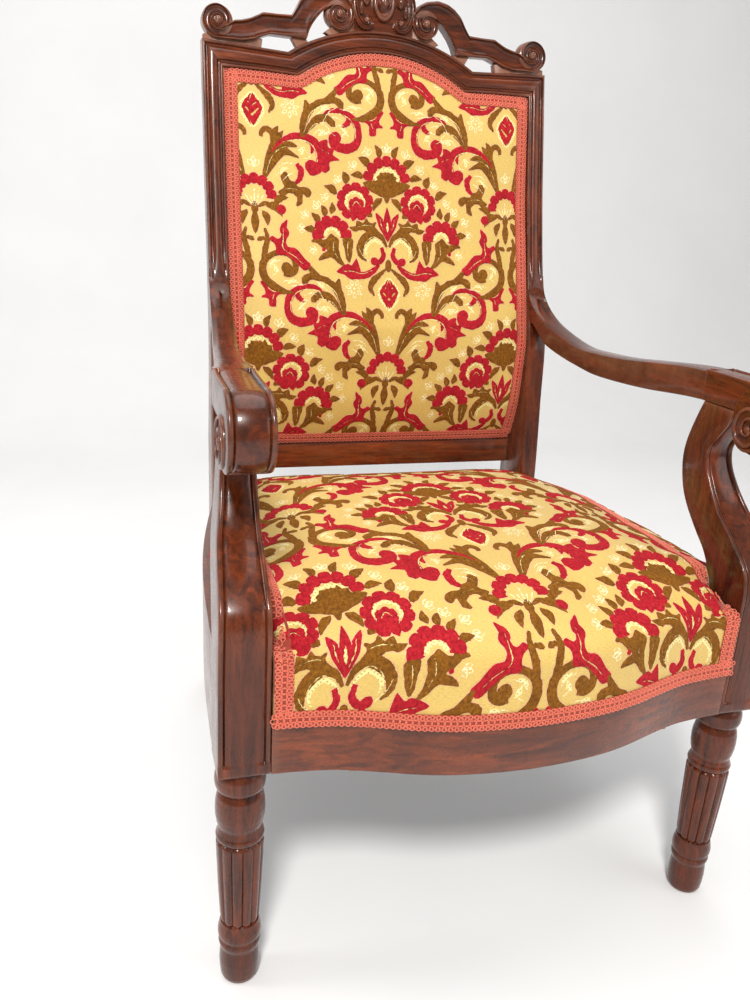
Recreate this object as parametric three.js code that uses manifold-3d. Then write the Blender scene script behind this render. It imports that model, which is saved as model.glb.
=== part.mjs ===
// An open armchair with a show-wood mahogany frame, scrolled arms and an upholstered seat and back.
// Millimetres. X is to the sitter's left as seen from the front, Y runs back, Z is up.
// While it is built, Y = 0 is the axis of the front legs; the finished chair is centred at the end.
import * as THREE from 'three';
import { mergeVertices } from 'three/addons/utils/BufferGeometryUtils.js';
import Module from 'manifold-3d';

const wasm = await Module();
wasm.setup();

// ---- Driving sizes -------------------------------------------------------------------------
const gap = 0.3; // space left between touching pieces
const frontLegSpacing = 570.8; // between the axes of the front legs
const frontPostWidth = 52; // block above each front leg, seen from the front
const blockDepth = 54; // the same block, front to back
const legHeight = 272; // floor to the underside of the rails
const railHeight = 124;
const railThickness = 27;
const frontBow = 47.5; // how far the front rail swells forward of the posts
const seatDepth = 469; // front leg axis to the front of the rear post, at the seat
const backWidth = 514; // across the outer faces of the rear posts
const stileWidth = 27.3; // rear post, seen from the front
const backCornerHeight = 1006; // floor to the outer corner of the back frame
const archRise = 34; // the arch's top above the corners
const archHalfWidth = 139;
const topRailWidth = 30;
const lowerRailBottom = 414;
const lowerRailHeight = 41.5;
const lowerRailThickness = 22;
const armHeight = 648; // floor to the top of the scroll
const armFrontWidth = 34;
const armThickness = 36;
const scrollRadius = 38;
const scrollSetBack = 5; // scroll centre behind the front leg axis
const voluteRadius = 25;
const voluteRelief = 6;
const cushionRise = 54; // crown of the seat above the rails
const backCrown = 16; // crown of the back panel
const panelDepth = 12; // back frame, front to back
const gimpWidth = 18;
const gimpThickness = 2.4;
const clothThickness = 1.8;
const crestDepth = 22;
const tenonLength = 15;
const tenonThickness = 10;
const tenonHeight = 60;
const dowelRadius = 12;
const dowelLength = 40;

const railTop = legHeight + railHeight;
const postHalf = frontPostWidth / 2;
const postAxis = frontLegSpacing / 2;
const frontInner = postAxis - postHalf; // inner face of the front posts
const frontOuter = postAxis + postHalf;
const stileOuter = backWidth / 2;
const stileInner = stileOuter - stileWidth;
const cornerInnerHeight = backCornerHeight - topRailWidth - 4;
const lowerRailTop = lowerRailBottom + lowerRailHeight;
const scrollHeight = armHeight - scrollRadius;
const postFace = -postHalf - 2.5; // front face of the blocks

// ---- Materials -----------------------------------------------------------------------------
const finish = (color, roughness, metalness = 0) =>
  new THREE.MeshStandardMaterial({ color, roughness, metalness });
const mahogany = finish(0x3a1710, 0.28);
const railWood = finish(0x5c2415, 0.3);
const rawWood = finish(0x9a6b43, 0.8);
const damask = finish(0xc09a45, 0.75);
const gimpBraid = finish(0xd4584a, 0.85);
const jute = finish(0x9c7a4c, 0.95);
const stuffing = finish(0x4a3d30, 1);
const steel = finish(0x8d9094, 0.35, 1);
const cambric = finish(0x24211f, 0.95);

// ---- Shape helpers -------------------------------------------------------------------------
const point = (x, y, z) => new THREE.Vector3(x, y, z);

/** A smooth function through [input, output] pairs, straight past its ends. */
function smoothThrough(pairs) {
  const slopes = pairs.map((_, i) => {
    const a = pairs[Math.max(i - 1, 0)];
    const b = pairs[Math.min(i + 1, pairs.length - 1)];
    return (b[1] - a[1]) / (b[0] - a[0]);
  });
  return (x) => {
    const last = pairs.length - 1;
    if (x <= pairs[0][0]) return pairs[0][1] + slopes[0] * (x - pairs[0][0]);
    if (x >= pairs[last][0]) return pairs[last][1] + slopes[last] * (x - pairs[last][0]);
    const i = pairs.findIndex((p, k) => k < last && x <= pairs[k + 1][0]);
    const h = pairs[i + 1][0] - pairs[i][0];
    const t = (x - pairs[i][0]) / h;
    const value = (1 + 2 * t) * (1 - t) ** 2 * pairs[i][1] + t * t * (3 - 2 * t) * pairs[i + 1][1];
    return value + h * t * (1 - t) * ((1 - t) * slopes[i] - t * slopes[i + 1]);
  };
}

/** Turn a geometry into a solid that can be cut and joined. */
function solid(geometry) {
  const plain = new THREE.BufferGeometry();
  const source = geometry.index ? geometry.toNonIndexed() : geometry;
  plain.setAttribute('position', source.getAttribute('position'));
  const merged = mergeVertices(plain, 1e-3);
  const vertProperties = new Float32Array(merged.getAttribute('position').array);
  const triVerts = new Uint32Array(merged.index.array);
  return new wasm.Manifold(new wasm.Mesh({ numProp: 3, vertProperties, triVerts }));
}

/** Turn a solid back into a geometry. */
function geometryOf(body) {
  const mesh = body.getMesh();
  const geometry = new THREE.BufferGeometry();
  geometry.setAttribute('position', new THREE.BufferAttribute(mesh.vertProperties, 3));
  geometry.setIndex(new THREE.BufferAttribute(mesh.triVerts, 1));
  return geometry;
}

/**
 * A closed skin through a row of loops that all have the same number of points. Its ends are closed by a
 * fan from the middle, or by strips across the loop where the loop runs out along a sheet and back.
 */
function loft(loops, closing = 'fan') {
  const count = loops[0].length;
  const last = (loops.length - 1) * count;
  const points = loops.flat();
  const faces = [];
  for (let i = 0; i < last; i += count) {
    for (let j = 0; j < count; j++) {
      const k = (j + 1) % count;
      const [a, b, c, d] = [i + j, i + k, i + count + k, i + count + j];
      const wayBack = closing === 'strip' && j >= count / 2; // so that facing sheets nest
      faces.push(...(wayBack ? [a, b, d, b, c, d] : [a, b, c, a, c, d]));
    }
  }
  if (closing === 'strip') {
    for (let j = 0; j < count / 2 - 1; j++) {
      const far = count - 1 - j;
      faces.push(j + 1, j, far, j + 1, far, far - 1);
      faces.push(last + j, last + j + 1, last + far, last + j + 1, last + far - 1, last + far);
    }
  } else {
    const centre = (loop) => loop.reduce((sum, p) => sum.add(p), point(0, 0, 0)).divideScalar(count);
    points.push(centre(loops[0]), centre(loops.at(-1)));
    for (let j = 0; j < count; j++) {
      const k = (j + 1) % count;
      faces.push(last + count, k, j, last + count + 1, last + j, last + k);
    }
  }
  const body = solid(indexed(points, faces));
  return body.volume() < 0 ? solid(indexed(points, faces.reverse())) : body;
}

function indexed(points, faces) {
  const geometry = new THREE.BufferGeometry().setFromPoints(points);
  geometry.setIndex(faces);
  return geometry;
}

/** A box between two corners. */
function box(x0, y0, z0, x1, y1, z1) {
  const geometry = new THREE.BoxGeometry(x1 - x0, y1 - y0, z1 - z0);
  return solid(geometry.translate((x0 + x1) / 2, (y0 + y1) / 2, (z0 + z1) / 2));
}

/** A round bar between two points. */
function bar(from, to, radius, sides = 16) {
  const length = from.distanceTo(to);
  const geometry = new THREE.CylinderGeometry(radius, radius, length, sides);
  const turn = new THREE.Quaternion().setFromUnitVectors(point(0, 1, 0), to.clone().sub(from).normalize());
  const middle = from.clone().lerp(to, 0.5);
  return solid(geometry.applyQuaternion(turn).translate(middle.x, middle.y, middle.z));
}

/** A flat outline in plan, given as [x, y] pairs, between two heights. */
function slab(outline, low, high) {
  const shape = new THREE.Shape(outline.map(([x, y]) => new THREE.Vector2(x, y)));
  const geometry = new THREE.ExtrudeGeometry(shape, { depth: high - low, bevelEnabled: false });
  return solid(geometry.translate(0, 0, low));
}

/** The mirror image of a solid, on the other side of the chair. */
const mirrored = (body) => body.mirror([1, 0, 0]);

const evenly = (count, from, to) => Array.from({ length: count + 1 }, (_, i) => from + ((to - from) * i) / count);

// ---- Lines that several pieces share ---------------------------------------------------------
/** Front and back faces of the rear posts at a height: sabre leg below, raked stile above. */
const postLine = [
  [0, 131, 165], [100, 83, 129], [200, 39, 97], [272, 15, 82], [334, 4, 77], [397, 0, 76], [463, 4, 78],
  [527, 10, 70], [608, 16, 66], [650, 28, 72], [718, 50, 83], [826, 78, 108], [913, 97, 126], [1006, 117, 145],
];
const backStretch = backCornerHeight / 1006;
const postFront = smoothThrough(postLine.map(([z, front]) => [z * backStretch, seatDepth + front]));
const postBack = smoothThrough(postLine.map(([z, , back]) => [z * backStretch, seatDepth + back]));

/** How far the panel's edge lies behind the front of the stiles. */
const panelRecess = smoothThrough([[455, 52], [519, 27], [571, 20], [633, 12], [717, 7], [825, 9], [972, 5]]);
const panelFront = (z) =>
  postFront(z) + panelRecess(THREE.MathUtils.mapLinear(z, lowerRailTop, backCornerHeight, 455.5, 1006));

/** The serpentine front face of the front rail. */
const bowShape = smoothThrough([
  [0, 1], [0.147, 0.96], [0.315, 0.85], [0.454, 0.67], [0.6, 0.4], [0.744, 0.16], [0.894, 0.04], [1, 0],
]);
const bowFront = (x) => postFace - frontBow * bowShape(Math.abs(x) / frontInner);

/** The outer face of the side rails. */
const sideSwell = 13;
function sideOuter(y) {
  const share = (y - postHalf) / (seatDepth - postHalf);
  return frontOuter + (stileOuter - frontOuter) * share + sideSwell * Math.sin(Math.PI * share);
}

/** Outer edge of the arched top rail. The straight ends dip a little towards the arch. */
const archDip = 6;
function archEdge(x) {
  const reach = Math.abs(x);
  if (reach > archHalfWidth) {
    return backCornerHeight - (archDip * (stileOuter - reach)) / (stileOuter - archHalfWidth);
  }
  const rise = archRise + archDip;
  const radius = (archHalfWidth ** 2 + rise ** 2) / (2 * rise);
  return backCornerHeight + archRise - radius + Math.sqrt(radius ** 2 - reach ** 2);
}

/** Places across the back: the corners, the ends of the arch and points along it. */
function archStops(half, sideCount, archCount) {
  const arch = (archHalfWidth * half) / stileOuter;
  return [
    ...evenly(sideCount, -half, -arch), ...evenly(archCount, -arch, arch).slice(1, -1),
    ...evenly(sideCount, arch, half),
  ];
}

/** Inner edge of the top rail, where the panel starts. */
function archInner(x) {
  const share = Math.min(Math.abs(x) / stileInner, 1);
  return archEdge(x * (stileOuter / stileInner)) - topRailWidth - 4 * share ** 4;
}

// ---- Front legs ------------------------------------------------------------------------------
const reedCount = 12;
const legProfile = [
  // share of the leg's height, radius, depth of the reeding
  [0, 18.5, 0], [0.012, 21, 0], [0.085, 21.4, 0], [0.115, 17.5, 0], [0.14, 23, 0], [0.2, 23.3, 0],
  [0.217, 19.6, 0], [0.245, 20.6, 1.8], [0.555, 23.8, 2.2], [0.585, 21.5, 0], [0.6, 23.6, 0], [0.63, 24.6, 0],
  [0.66, 23.6, 0], [0.668, 20.5, 0], [0.69, 23, 0], [0.73, 25.4, 0], [0.78, 25.6, 0], [0.824, 20.5, 0],
  [0.845, 24.6, 0], [0.875, 26, 0], [0.91, 24.6, 0], [0.93, 21.5, 0], [1, 24.8, 0],
];

function frontLeg() {
  const sides = reedCount * 2;
  const ring = ([share, radius, reed]) =>
    Array.from({ length: sides }, (_, i) => {
      const turn = (2 * Math.PI * i) / sides;
      const r = radius - reed * (i % 2);
      return point(postAxis + r * Math.cos(turn), r * Math.sin(turn), share * (legHeight - gap));
    });
  const turned = loft(legProfile.map(ring));
  const dowelFoot = point(postAxis, 0, legHeight - 8);
  const dowelHead = point(postAxis, 0, legHeight + dowelLength - gap);
  return turned.add(bar(dowelFoot, dowelHead, dowelRadius));
}

// ---- Arm supports ------------------------------------------------------------------------------
/** Front and back of the console in side view: [y, z] of the front, then of the back. */
const consoleLine = [
  [-28.5, 272, blockDepth - 28.5, 272], [-28.5, 330, blockDepth - 28.5, 330],
  [-28.5, 390, blockDepth - 28.5, 390], [-28.3, 415, 31, 406],
  [-24, 437, 42, 428], [-14.4, 451.3, 52.3, 443], [0.9, 465.5, 66, 455.5], [18.4, 479.8, 79, 468],
  [36.4, 494, 93, 483], [49.5, 508.3, 103.6, 498], [59.9, 522.5, 110.5, 514], [68.8, 536.8, 115, 531],
  [73.3, 551, 116, 547], [72.2, 562.4, 113.5, 563], [61, 579, 107, 583], [50, 594, 101, 598], [42, 612, 95, 612],
];

/** Width of the console's front at a height: full at the block, narrow under the scroll. */
const consoleWidth = smoothThrough([[272, 51.7], [427, 50.4], [484, 45.6], [532, 38], [612, 34.2]]);

function consoleSection([frontY, frontZ, backY, backZ]) {
  const width = consoleWidth(frontZ) * (frontPostWidth / 52);
  const inner = frontInner;
  const lift = (z) =>
    z < 390
      ? THREE.MathUtils.mapLinear(z, 272, 396, legHeight, railTop)
      : THREE.MathUtils.mapLinear(z, 390, 612, railTop, armHeight - armThickness);
  const at = (across, depth) =>
    point(
      inner + across * width,
      THREE.MathUtils.lerp(frontY, backY, depth) + postFace + 28.5,
      lift(THREE.MathUtils.lerp(frontZ, backZ, depth)),
    );
  return [
    at(0, 0.07), at(0.03, 0.02), at(0.08, 0), at(0.13, 0.01), at(0.16, 0.05), at(0.34, 0.03), at(0.5, 0.02),
    at(0.66, 0.03), at(0.84, 0.05), at(0.87, 0.01), at(0.92, 0), at(0.97, 0.02), at(1, 0.07), at(1, 0.94),
    at(0.94, 1), at(0.06, 1), at(0, 0.94),
  ];
}

function armSupport() {
  const armLine = armHeight - armThickness;
  const body = loft(consoleLine.map(consoleSection));
  const scroll = scrollBar(frontInner - 30, frontOuter + 30, scrollRadius + gap);
  const overArm = box(frontInner - 30, -80, armLine - gap, frontOuter + 30, 140, armLine + 60);
  const legHole = bar(
    point(postAxis, 0, legHeight - 20), point(postAxis, 0, legHeight + dowelLength), dowelRadius + gap);
  return body
    .subtract(scroll)
    .subtract(overArm)
    .subtract(legHole)
    .subtract(frontRailTenon(gap))
    .subtract(sideRailTenons(gap).front)
    .add(supportTenon(0));
}

/** The tenon that stands up from the support into the arm. */
function supportTenon(clearance) {
  const armLine = armHeight - armThickness;
  const middle = frontInner + 17;
  const c = clearance;
  return box(middle - 7 - c, 58 - c, armLine - 14, middle + 7 + c, 82 + c, armLine + 18 + c);
}

// ---- Arms --------------------------------------------------------------------------------------
/** The arm in side view from the post forward: y, top, underside, as measured from the arm's height. */
const armLine = [
  [519.7, 69.5, -3], [511, 46, -3], [497, 30, -8], [474, 15, -18], [446, 3, -28.4], [398, -10, -38.5],
  [355, -17, -44.5], [315.7, -17, -48.4], [258, -14.5, -47.8], [197, -8, -44.4], [140, -2, -38.8], [98, 0, -36],
  [60, 0, -36], [5, 0, -36],
];

const armInner = smoothThrough([[60, frontInner], [130, frontInner - 2],
  [300, THREE.MathUtils.lerp(frontInner, stileInner, 0.52)], [440, stileInner + 4], [519, stileInner]]);
const armWidth = smoothThrough([[5, armFrontWidth], [98, armFrontWidth], [300, 31], [519, stileWidth]]);
const armBearing = 140; // the arm is level over its support as far back as this

/** Where a step of the arm's side view lies: only the part behind the support follows the seat's depth. */
const armReach = (y) =>
  y < armBearing
    ? THREE.MathUtils.mapLinear(y, 5, armBearing, scrollSetBack, armBearing)
    : THREE.MathUtils.mapLinear(y, armBearing, 519.7, armBearing, seatDepth + 50.7);

function armSection([y, top, under]) {
  const reach = armReach(y);
  const inner = armInner(y);
  const width = armWidth(y);
  const depth = top - under;
  const slope = y > 440 ? Math.min((y - 440) / 70, 1) : 0; // the end leans with the post
  const at = (across, down) => {
    const z = armHeight + top - depth * down;
    return point(inner + across * width, reach - slope * down * 23, z);
  };
  return [
    at(0, 0.25), at(0.05, 0.1), at(0.2, 0.01), at(0.35, 0.03), at(0.5, 0), at(0.65, 0.03), at(0.8, 0.01),
    at(0.95, 0.1), at(1, 0.25), at(1, 0.8), at(0.92, 1), at(0.08, 1), at(0, 0.8),
  ];
}

/** A round bar along the axis of the arm's scroll. */
function scrollBar(from, to, radius, setBack = 0, drop = 0, sides = 32) {
  const y = scrollSetBack + setBack;
  const z = scrollHeight - drop;
  return bar(point(from, y, z), point(to, y, z), radius, sides);
}

function arm() {
  const scroll = scrollBar(frontInner - 1, frontInner + armFrontWidth + 1, scrollRadius);
  const voluteDrop = scrollRadius - voluteRadius - 1;
  const volute = scrollBar(
    frontInner - voluteRelief, frontInner + armFrontWidth + voluteRelief, voluteRadius, 9, voluteDrop, 24);
  return loft(armLine.map(armSection))
    .add(scroll)
    .add(volute)
    .subtract(postBody(gap))
    .add(armTenon(0))
    .subtract(supportTenon(gap))
    .subtract(armScrew(0.1));
}

const armJoint = armHeight + 34; // middle of the joint between arm and post

/** The tenon on the back of the arm, let into the post. */
function armTenon(clearance) {
  const middle = (stileInner + stileOuter) / 2;
  const half = tenonThickness / 2 + clearance;
  const y = postFront(armJoint);
  return box(
    middle - half, y - 22, armJoint - 20 - clearance, middle + half, y + tenonLength + clearance,
    armJoint + 20 + clearance);
}

/** The screw driven through the back of the post into the arm. */
function armScrew(clearance) {
  const middle = (stileInner + stileOuter) / 2;
  const headEnd = postBack(armJoint) - 3;
  const head = bar(point(middle, headEnd - 4, armJoint), point(middle, headEnd, armJoint), 4.5 + clearance, 12);
  const tip = point(middle, postFront(armJoint) - 30 - clearance, armJoint);
  return head.add(bar(point(middle, headEnd - 2, armJoint), tip, 2.5 + clearance, 10));
}

// ---- Rear posts --------------------------------------------------------------------------------
const mouldingShape = [
  // share of the width, depth of the cut
  [0, 3.5], [0.03, 1.2], [0.1, 0.4], [0.18, 1.2], [0.23, 3.2], [0.34, 1], [0.5, 0], [0.66, 1], [0.77, 3.2],
  [0.82, 1.2], [0.9, 0.4], [0.97, 1.2], [1, 3.5],
];

/** Both posts stop at a mitre against the top rail. */
const mitreHeight = (share) => THREE.MathUtils.lerp(cornerInnerHeight, backCornerHeight, share);

function postSection(z, clearance, isTop) {
  const moulded = THREE.MathUtils.smoothstep(z, armJoint + 20, armJoint + 60);
  const relief = clearance ? 0 : moulded;
  const height = (share) => (isTop ? mitreHeight(share) - gap * 1.5 : z);
  const across = (share) => stileInner - clearance + share * (stileWidth + 2 * clearance);
  const front = mouldingShape.map(([share, cut]) =>
    point(across(share), postFront(height(share)) - clearance + cut * relief, height(share)));
  const back = [1, 0].map((share) => point(across(share), postBack(height(share)) + clearance, height(share)));
  return [...front, ...back];
}

function postBody(clearance) {
  const levels = [...evenly(9, 0, armJoint - 40), ...evenly(5, armJoint - 20, armJoint + 60),
    ...evenly(5, armJoint + 100, cornerInnerHeight - 20)];
  const loops = levels.map((z) => postSection(z, clearance, false));
  return loft([...loops, postSection(cornerInnerHeight, clearance, true)]);
}

function rearPost() {
  const screwHole = armScrew(0.3);
  const middle = (stileInner + stileOuter) / 2;
  const headY = postBack(armJoint);
  const sink = bar(point(middle, headY - 8, armJoint), point(middle, headY + 20, armJoint), 5.2, 12);
  return postBody(0)
    .subtract(armTenon(gap))
    .subtract(screwHole)
    .subtract(sink)
    .subtract(sideRailTenons(gap).back)
    .subtract(rearRailTenon(gap))
    .subtract(lowerRailTenon(gap))
    .subtract(cornerDowel(0.2));
}

/** The dowel across each mitre at the top of the back. */
function cornerDowel(clearance) {
  const z = cornerInnerHeight + topRailWidth * 0.25;
  const y = (postFront(z) + postBack(z)) / 2 + 2;
  const low = point(stileOuter - 13, y - 7.3, z - 35);
  const high = point(stileInner - 2, y + 3.8, z + 12);
  const along = high.clone().sub(low).normalize().multiplyScalar(clearance);
  return bar(low.sub(along), high.add(along), 3 + clearance, 12);
}

// ---- Top rail and crest ------------------------------------------------------------------------
function topRailSection(x) {
  const outer = point(x, 0, archEdge(x));
  const inner = point((x * stileInner) / stileOuter, 0, archInner((x * stileInner) / stileOuter));
  const place = (share, cut) => {
    const p = inner.clone().lerp(outer, share);
    p.y = postFront(p.z) + cut;
    return p;
  };
  const front = mouldingShape.map(([share, cut]) => place(share, cut));
  const depth = (share) => {
    const z = place(share, 0).z;
    return postBack(z) - postFront(z);
  };
  return [...front, place(1, depth(1)), place(0, depth(0))];
}

function topRail() {
  const stops = archStops(stileOuter, 4, 16);
  const dowels = cornerDowel(0.2).add(mirrored(cornerDowel(0.2)));
  return loft(stops.map(topRailSection)).subtract(dowels);
}

/** Points along a circular sweep in the plane of the crest, from one angle to another, in degrees. */
function sweep(x, z, radius, from, to, endRadius = radius, steps = 8) {
  return evenly(steps, 0, 1).map((t) => {
    const angle = THREE.MathUtils.degToRad(from + (to - from) * t);
    const r = radius + (endRadius - radius) * t;
    return [x + r * Math.cos(angle), z + r * Math.sin(angle)];
  });
}

/** The right half of the crest's band, from the outer scroll to the inner one: [x, z] of its edges. */
const bandHeight = backCornerHeight - 1006;
const bandSpread = backWidth / 514;
const bandUpper = [
  [222, 1031], [212, 1032.5], [202, 1034], [190, 1038], [180, 1043], [173, 1047], [152, 1047], [131.5, 1048],
  [126, 1057], [118.5, 1071.5], [109, 1080.5], [98, 1086.5], [83, 1089.5], [65, 1086], [53, 1079.5], [44, 1068],
];
const bandLower = [
  [232, 1009], [215, 1007.5], [202, 1007.5], [187, 1010.5], [174, 1016], [163, 1020], [138, 1019.5], [112, 1019],
  [108.5, 1030], [103, 1040], [97, 1048], [90.5, 1055], [82, 1060], [74, 1062], [68, 1060], [62, 1052],
];

/** Front face of the crest: it leans as the stiles do. */
const crestFront = (z) => postFront(backCornerHeight) + 0.19 * (z - backCornerHeight);

/** A flat outline in the plane of the crest, [x, z] pairs, cut through from front to back. */
function crestPlate(outline, proud = 0, depth = crestDepth) {
  const shape = new THREE.Shape(outline.map(([x, z]) => new THREE.Vector2(x * bandSpread, z + bandHeight)));
  const geometry = new THREE.ExtrudeGeometry(shape, { depth, bevelEnabled: false });
  const position = geometry.getAttribute('position');
  for (let i = 0; i < position.count; i++) {
    const z = position.getY(i);
    const back = depth - position.getZ(i);
    position.setXYZ(i, position.getX(i), crestFront(z) + back - proud, z);
  }
  return solid(geometry);
}

/** The piece of ground that joins the band to the top rail below it. */
const crestGround = [
  [stileOuter - 1, 1001], [stileOuter - 1, 1012], [235, 1014], [205, 1012], [180, 1016], [164, 1013], [166, 1000],
  [206, 998],
];

function crestHalf() {
  const band = crestPlate([...bandUpper, ...bandLower.slice().reverse()]);
  const outerScroll = crestPlate(sweep(235.5, 1031, 21.5, 0, 345, 21.5, 20), 1.5);
  const innerScroll = crestPlate(sweep(64, 1056, 21, 0, 345, 21, 20), 1.5);
  const foot = crestPlate([[35, 1030], [72, 1024], [84, 1033], [70, 1042], [40, 1048]]);
  const spur = crestPlate([[112, 1019.5], [134, 1019.5], [124, 1000], [104, 1008]], -3, crestDepth - 6);
  return band
    .add(outerScroll)
    .add(innerScroll)
    .add(foot)
    .add(spur)
    .add(crestPlate(crestGround, -3, crestDepth - 6));
}

function crest() {
  const rightHalf = crestHalf();
  const eggTop = 1108;
  const plaque = crestPlate([
    [46, 1034], [48, 1060], [42, 1082], [30, 1098], [14, eggTop], [0, eggTop + 4], [-14, eggTop], [-30, 1098],
    [-42, 1082], [-48, 1060], [-46, 1034], [0, 1032],
  ], -4, crestDepth - 8);
  return rightHalf
    .add(mirrored(rightHalf))
    .add(plaque)
    .add(crestEgg())
    .subtract(railTopCutter());
}

/** The oval boss in the middle of the crest. */
function crestEgg() {
  const z = 1080 + bandHeight;
  const egg = new THREE.SphereGeometry(1, 20, 12).scale(16.5, 11, 27);
  return solid(egg.rotateX(-0.19).translate(0, crestFront(z) + 5, z));
}

/** What the crest stands on: the top rail, grown by the gap, and everything below its upper edge. */
function railTopCutter() {
  const low = backCornerHeight - 60;
  const stops = evenly(36, -stileOuter - 6, stileOuter + 6);
  const outline = stops.map((x) => [x, archEdge(x) + gap]);
  const shape = new THREE.Shape([[stileOuter + 6, low], [-stileOuter - 6, low], ...outline]
    .map(([x, z]) => new THREE.Vector2(x, z)));
  const geometry = new THREE.ExtrudeGeometry(shape, { depth: 140, bevelEnabled: false });
  return solid(geometry.rotateX(Math.PI / 2).translate(0, postFront(backCornerHeight) + 90, 0));
}

// ---- Rails ---------------------------------------------------------------------------------------
const tenonLow = railTop - 12 - tenonHeight;

function frontRailTenon(clearance) {
  const y = postFace + 16;
  const half = tenonThickness / 2 + clearance;
  const end = frontInner + tenonLength + clearance;
  return box(frontInner - 12, y - half, tenonLow - clearance, end, y + half, tenonLow + tenonHeight + clearance);
}

function frontRail() {
  const stops = evenly(28, -frontInner + gap, frontInner - gap);
  const front = stops.map((x) => [x, bowFront(x)]);
  const back = stops.slice().reverse().map((x) => [x, bowFront(x) + railThickness]);
  return slab([...front, ...back], legHeight, railTop)
    .add(frontRailTenon(0))
    .add(mirrored(frontRailTenon(0)));
}

/** Side rail tenons: one into the front post, one into the rear post. */
function sideRailTenons(clearance) {
  const c = clearance;
  const half = tenonThickness / 2 + c;
  const frontX = frontOuter - 14;
  const backX = (stileInner + stileOuter) / 2;
  const low = tenonLow - c;
  const high = tenonLow + tenonHeight + c;
  const frontY = postFace + blockDepth;
  return {
    front: box(frontX - half, frontY - tenonLength - c, low, frontX + half, frontY + 14, high),
    back: box(backX - half, seatDepth - 10, low, backX + half, seatDepth + 5 + tenonLength + c, high),
  };
}

function sideRail() {
  const start = postFace + blockDepth + gap;
  const stops = evenly(14, start, seatDepth + 20);
  const outer = stops.map((y) => [sideOuter(y) - 1, y]);
  const inner = stops.slice().reverse().map((y) => [sideOuter(y) - 1 - railThickness, y]);
  const tenons = sideRailTenons(0);
  return slab([...outer, ...inner], legHeight, railTop)
    .subtract(postBody(gap))
    .subtract(box(0, seatDepth + 10, legHeight - 10, stileOuter + 40, seatDepth + 90, railTop + 10))
    .add(tenons.front)
    .add(tenons.back);
}

const rearRailSetBack = 34; // rear rail behind the front of the rear posts

function rearRailTenon(clearance) {
  const y = seatDepth + rearRailSetBack + railThickness / 2;
  const half = tenonThickness / 2 + clearance;
  const end = stileInner + tenonLength + clearance;
  return box(stileInner - 12, y - half, tenonLow - clearance, end, y + half, tenonLow + tenonHeight + clearance);
}

function rearRail() {
  const y = seatDepth + rearRailSetBack;
  return box(-stileInner + gap, y, legHeight, stileInner - gap, y + railThickness, railTop)
    .add(rearRailTenon(0))
    .add(mirrored(rearRailTenon(0)));
}

const lowerRailFront = panelFront(lowerRailTop) + 1;

function lowerRailTenon(clearance) {
  const c = clearance;
  const y = lowerRailFront + lowerRailThickness / 2;
  const half = tenonThickness / 2 - 1 + c;
  return box(
    stileInner - 12, y - half, lowerRailBottom + 7 - c, stileInner + tenonLength + c, y + half,
    lowerRailTop - 7 + c);
}

function lowerRail() {
  const back = lowerRailFront + lowerRailThickness;
  const rail = box(
    -stileInner + gap, lowerRailFront, lowerRailBottom, stileInner - gap, back, lowerRailTop);
  return rail.add(lowerRailTenon(0)).add(mirrored(lowerRailTenon(0)));
}

/** A glued block behind each front corner, cut round the post. */
function frontCornerBlock() {
  const sideFace = (y) => sideOuter(y) - 1 - railThickness - gap;
  const postBackFace = postFace + blockDepth + gap;
  const rim = frontInner - gap;
  const reach = 58;
  return slab([
    [rim - reach, bowFront(rim - reach) + railThickness + gap + 1], [rim, postFace + railThickness + gap + 1],
    [rim, postBackFace], [sideFace(postBackFace), postBackFace],
    [sideFace(postBackFace + reach) - 1, postBackFace + reach],
  ], legHeight + 14, legHeight + 64);
}

function rearCornerBlock() {
  const sideFace = (y) => sideOuter(y) - 1 - railThickness - gap;
  const railFace = seatDepth + rearRailSetBack - gap;
  const rim = stileInner - gap;
  const reach = 58;
  const start = seatDepth - 6;
  const wall = Math.min(sideFace(seatDepth + 10), rim) - 0.5;
  return slab([
    [sideFace(start - reach) - 0.5, start - reach], [wall, start], [wall, railFace], [wall - reach, railFace],
  ], legHeight + 14, legHeight + 64);
}

// ---- Seat upholstery -------------------------------------------------------------------------------
/** Half of the cushion's outline in plan, from the middle of the front to the middle of the back. */
function seatHalfOutline(inset) {
  const inner = frontInner - gap - inset;
  const postRear = postFace + blockDepth + gap + 6;
  const front = evenly(8, 0, 1).map((t) => [t * inner, bowFront(t * inner) + inset]);
  const railEdge = (y) => sideOuter(y) - 12 - inset;
  const back = seatDepth + rearRailSetBack + 7 - inset;
  const side = evenly(5, postRear + 8 + inset, seatDepth - 8 - inset).map((y) => [railEdge(y), y]);
  return [
    ...front, [inner, postFace + 30], [inner, postRear + inset], ...side,
    [stileInner - gap - inset, seatDepth - 6 - inset], [stileInner - gap - inset, seatDepth + 18 - inset],
    [stileInner - gap - inset, back], [stileInner / 2, back], [0, back],
  ];
}

function seatOutline(inset) {
  const half = seatHalfOutline(inset);
  const other = half.slice(1, -1).reverse().map(([x, y]) => [-x, y]);
  return [...half, ...other];
}

/** The crowned body of the seat: rings that climb from the outline to the middle. It falls away at the back. */
function seatDome(inset, low, rise) {
  const outline = seatOutline(inset);
  const middle = [0, seatDepth * 0.47];
  const foot = railTop + gap + 3;
  const fullness = (y) => 0.46 + 0.4 * THREE.MathUtils.smoothstep(y, seatDepth * 0.6, seatDepth + 30);
  const crown = (t, y) => foot + (rise - 3) * (1 - (1 - t) ** 2.6) ** fullness(y);
  const ring = (t, height) => outline.map(([x, y]) => {
    const [u, v] = [THREE.MathUtils.lerp(x, middle[0], t), THREE.MathUtils.lerp(y, middle[1], t)];
    return point(u, v, height(v));
  });
  const steps = [0.02, 0.06, 0.13, 0.26, 0.5, 0.8];
  return loft([
    ring(0, () => low), ring(0, () => foot), ...steps.map((t) => ring(t, (y) => crown(t, y))),
  ]);
}

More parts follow.
